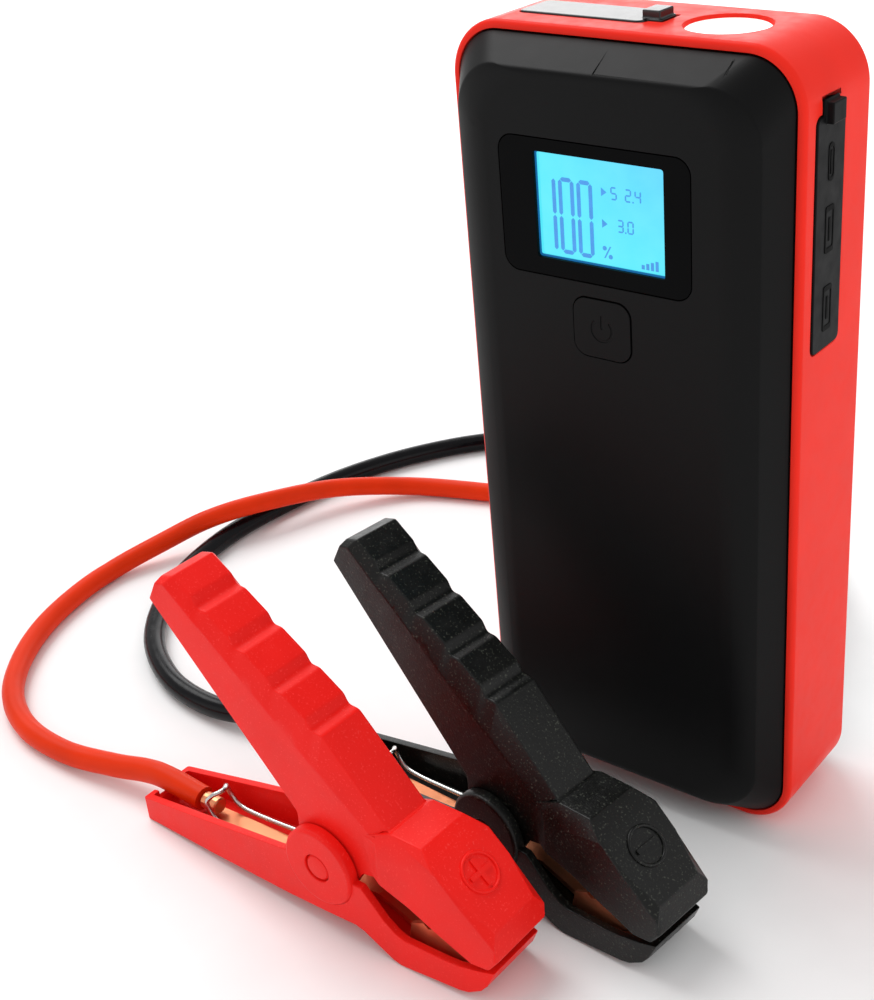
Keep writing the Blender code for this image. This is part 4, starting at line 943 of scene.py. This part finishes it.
def lower_lever(colour, place):
    """The open tray with an ear on each side, which the handle turns between."""
    side = [(0, 0), (30, 1.9), (52, 3.4), (64, 4.4), (72.5, 5.0), (75, 4.4), (82.5, 0.6), (85, 0),
            (103, 1.4), (106, 2.9), (107.4, 4.6), (109.3, 8.7), (97, 7.9), (87, 7.9), (84.5, 8.7),
            (81.5, 10.7), (75.5, 17), (54.5, 17.2), (0, 6.6)]
    plan = [(0, 7.0), (0.6, 7.3), (25, 8.6), (50, 9.7), (63.5, 10.1), (86, 10.2), (101, 9.6),
            (106, 8.6), (109.4, 7.6)]
    hollow = [(1.8, 1.9), (52, 5.3), (72.5, 6.9), (85.4, 1.9), (102, 3.2), (105, 5.2), (108, 12),
              (108, 40), (1.8, 40)]
    inner = [(0.6, 5.4), (50, 7.9), (PIVOT[0], 8), (86, 8.3), (101, 7.7), (109.4, 6.0)]
    lever = prism(f"{colour}_tray", side, -12, 12, "y")
    combine(lever, "INTERSECT",
            prism("plan", plan + [(s, -w) for s, w in reversed(plan)], -10, 60, "z"))
    rim = [(0, EAR_OUT), (EAR_R - 0.9, EAR_OUT), (EAR_R - 0.4, EAR_OUT - 0.2),
           (EAR_R, EAR_OUT - 0.8)]
    ears = lathe("ears", rim + [(r, -h) for r, h in reversed(rim)],
                 towards((PIVOT[0], 0, PIVOT[1]), (0, 1, 0)), 72)
    join(lever, ears)
    channel = prism("channel", hollow, -12, 12, "y")
    combine(channel, "INTERSECT",
            prism("channel_plan", inner + [(s, -w) for s, w in reversed(inner)], -10, 60, "z"))
    cut(lever, channel,
        prism("notch", [(-4, 4.5), (6, 4.5), (6, 20), (-4, 20)], -3.7, 3.7, "y"),
        rod("bore", PIN_BORE_R, (PIVOT[0], -20, PIVOT[1]), (PIVOT[0], 20, PIVOT[1])))
    for end in (-1, 1):
        cut(lever, rod("seat", 3.5, (PIVOT[0], end * (EAR_OUT - 1.3), PIVOT[1]),
                       (PIVOT[0], end * (EAR_OUT + 3), PIVOT[1])))
    soften(lever, 0.28, 2, 36)
    hand_over(lever, CLAMP[colour], "leads", f"clamp_{colour}", f"{colour}_lower_lever",
              matrix=place, angle=40)


def pivot(colour, place):
    """The pin, under caps in the clamp's own colour."""
    reach = EAR_OUT - 0.1
    half = [(0, reach), (1.8, reach), (2.8, reach - 0.1), (3.2, reach - 0.45), (3.2, reach - 0.9),
            (2.0, reach - 0.9)]
    profile = half + [(r, -h) for r, h in reversed(half)]
    pin = lathe(f"{colour}_pin", profile, towards((PIVOT[0], 0, PIVOT[1]), (0, 1, 0)), 40)
    hand_over(pin, CLAMP[colour], "leads", "steel", f"{colour}_pivot_pin", matrix=place)


def mirrored(run):
    """The run on the clamp's other side, walked the other way."""
    return [(s, -w, z) for s, w, z in reversed(run)]


def spring(colour, place):
    """One steel wire: its upper legs swing with the handle, its coil and lower loop stay put."""
    coil = []
    turns, steps, coil_r, pitch = 2.5, 24, 3.5, 1.45
    for i in range(int(turns * steps) + 1):
        turn = math.radians(120 - 360 * i / steps)
        coil.append((PIVOT[0] + coil_r * math.cos(turn), 4.9 - pitch * i / steps,
                     PIVOT[1] + coil_r * math.sin(turn)))
    # The leg goes on round the coil for 45 degrees, so the two stay joined over the 32 it opens.
    leg = [(40, 4.0, 51.5), (50, 4.5, 38), (58, 4.9, 26), *coil[:4]]
    loop = [(56.5, 1.5, 10.9), (50, 3.2, 9.0), (30, 3.6, 6.4), (22.3, 3.6, 6.6), (19.2, 3.4, 10.2),
            (20.0, 2.4, 12.2), (21.3, 0.8, 12.9)]
    bend = smooth([Vector(p) for p in loop + mirrored(loop)], 4)
    for name, body, runs in ((f"{colour}_coil", "leads", [coil + bend + mirrored(coil)]),
                             (f"{colour}_legs", f"{colour}_clamp_top", [leg, mirrored(leg)])):
        runs = [[place @ Vector(p) * MM for p in run] for run in runs]
        piece = wire(name, runs, WIRE_R, STEEL, 4)
        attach(piece, body)
        if body == "leads":
            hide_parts(f"{colour}_spring")


# Looks for the CAD nodes that no piece here replaces, by their slot.
NODE_LOOKS = {
    "circuit_board": moulded("solder_mask", (0.02, 0.16, 0.06), 0.4, grain=0.6, bump=0.3),
    "white_plastic": moulded("light_guide", (0.82, 0.83, 0.82), 0.4),
    "inner_black": moulded("inner_black", (0.02, 0.02, 0.02), 0.55),
    "cell_foil": moulded("cell_foil", (0.45, 0.47, 0.5), 0.35, grain=1.2, bump=0.3, metallic=0.8),
    "foam": moulded("foam", (0.1, 0.1, 0.11), 0.95, grain=0.8, bump=0.9),
    "steel": STEEL, "copper": COPPER, "gold_contact": GOLD, "black_plastic": BLACK_SHELL,
    "black_rubber": RUBBER, "gloss_black": GLOSS, "red_plastic": RED_SHELL,
    "clamp_red": CLAMP["red"], "clamp_black": CLAMP["black"],
}

frame_band()
front_case()
back_case()
display()
button()
port_covers()
lamp()
leads(plug())
for colour in ("red", "black"):
    here = clamp_place(colour)
    upper_lever(colour, here)
    lower_lever(colour, here)
    pivot(colour, here)
    spring(colour, here)

for part in frame["record"]["subparts"]:
    node = frame["nodes"][part["node"]]
    if part["material_slot"] in NODE_LOOKS and not node.hide_render:
        for holder in node.material_slots:
            holder.material = NODE_LOOKS[part["material_slot"]]
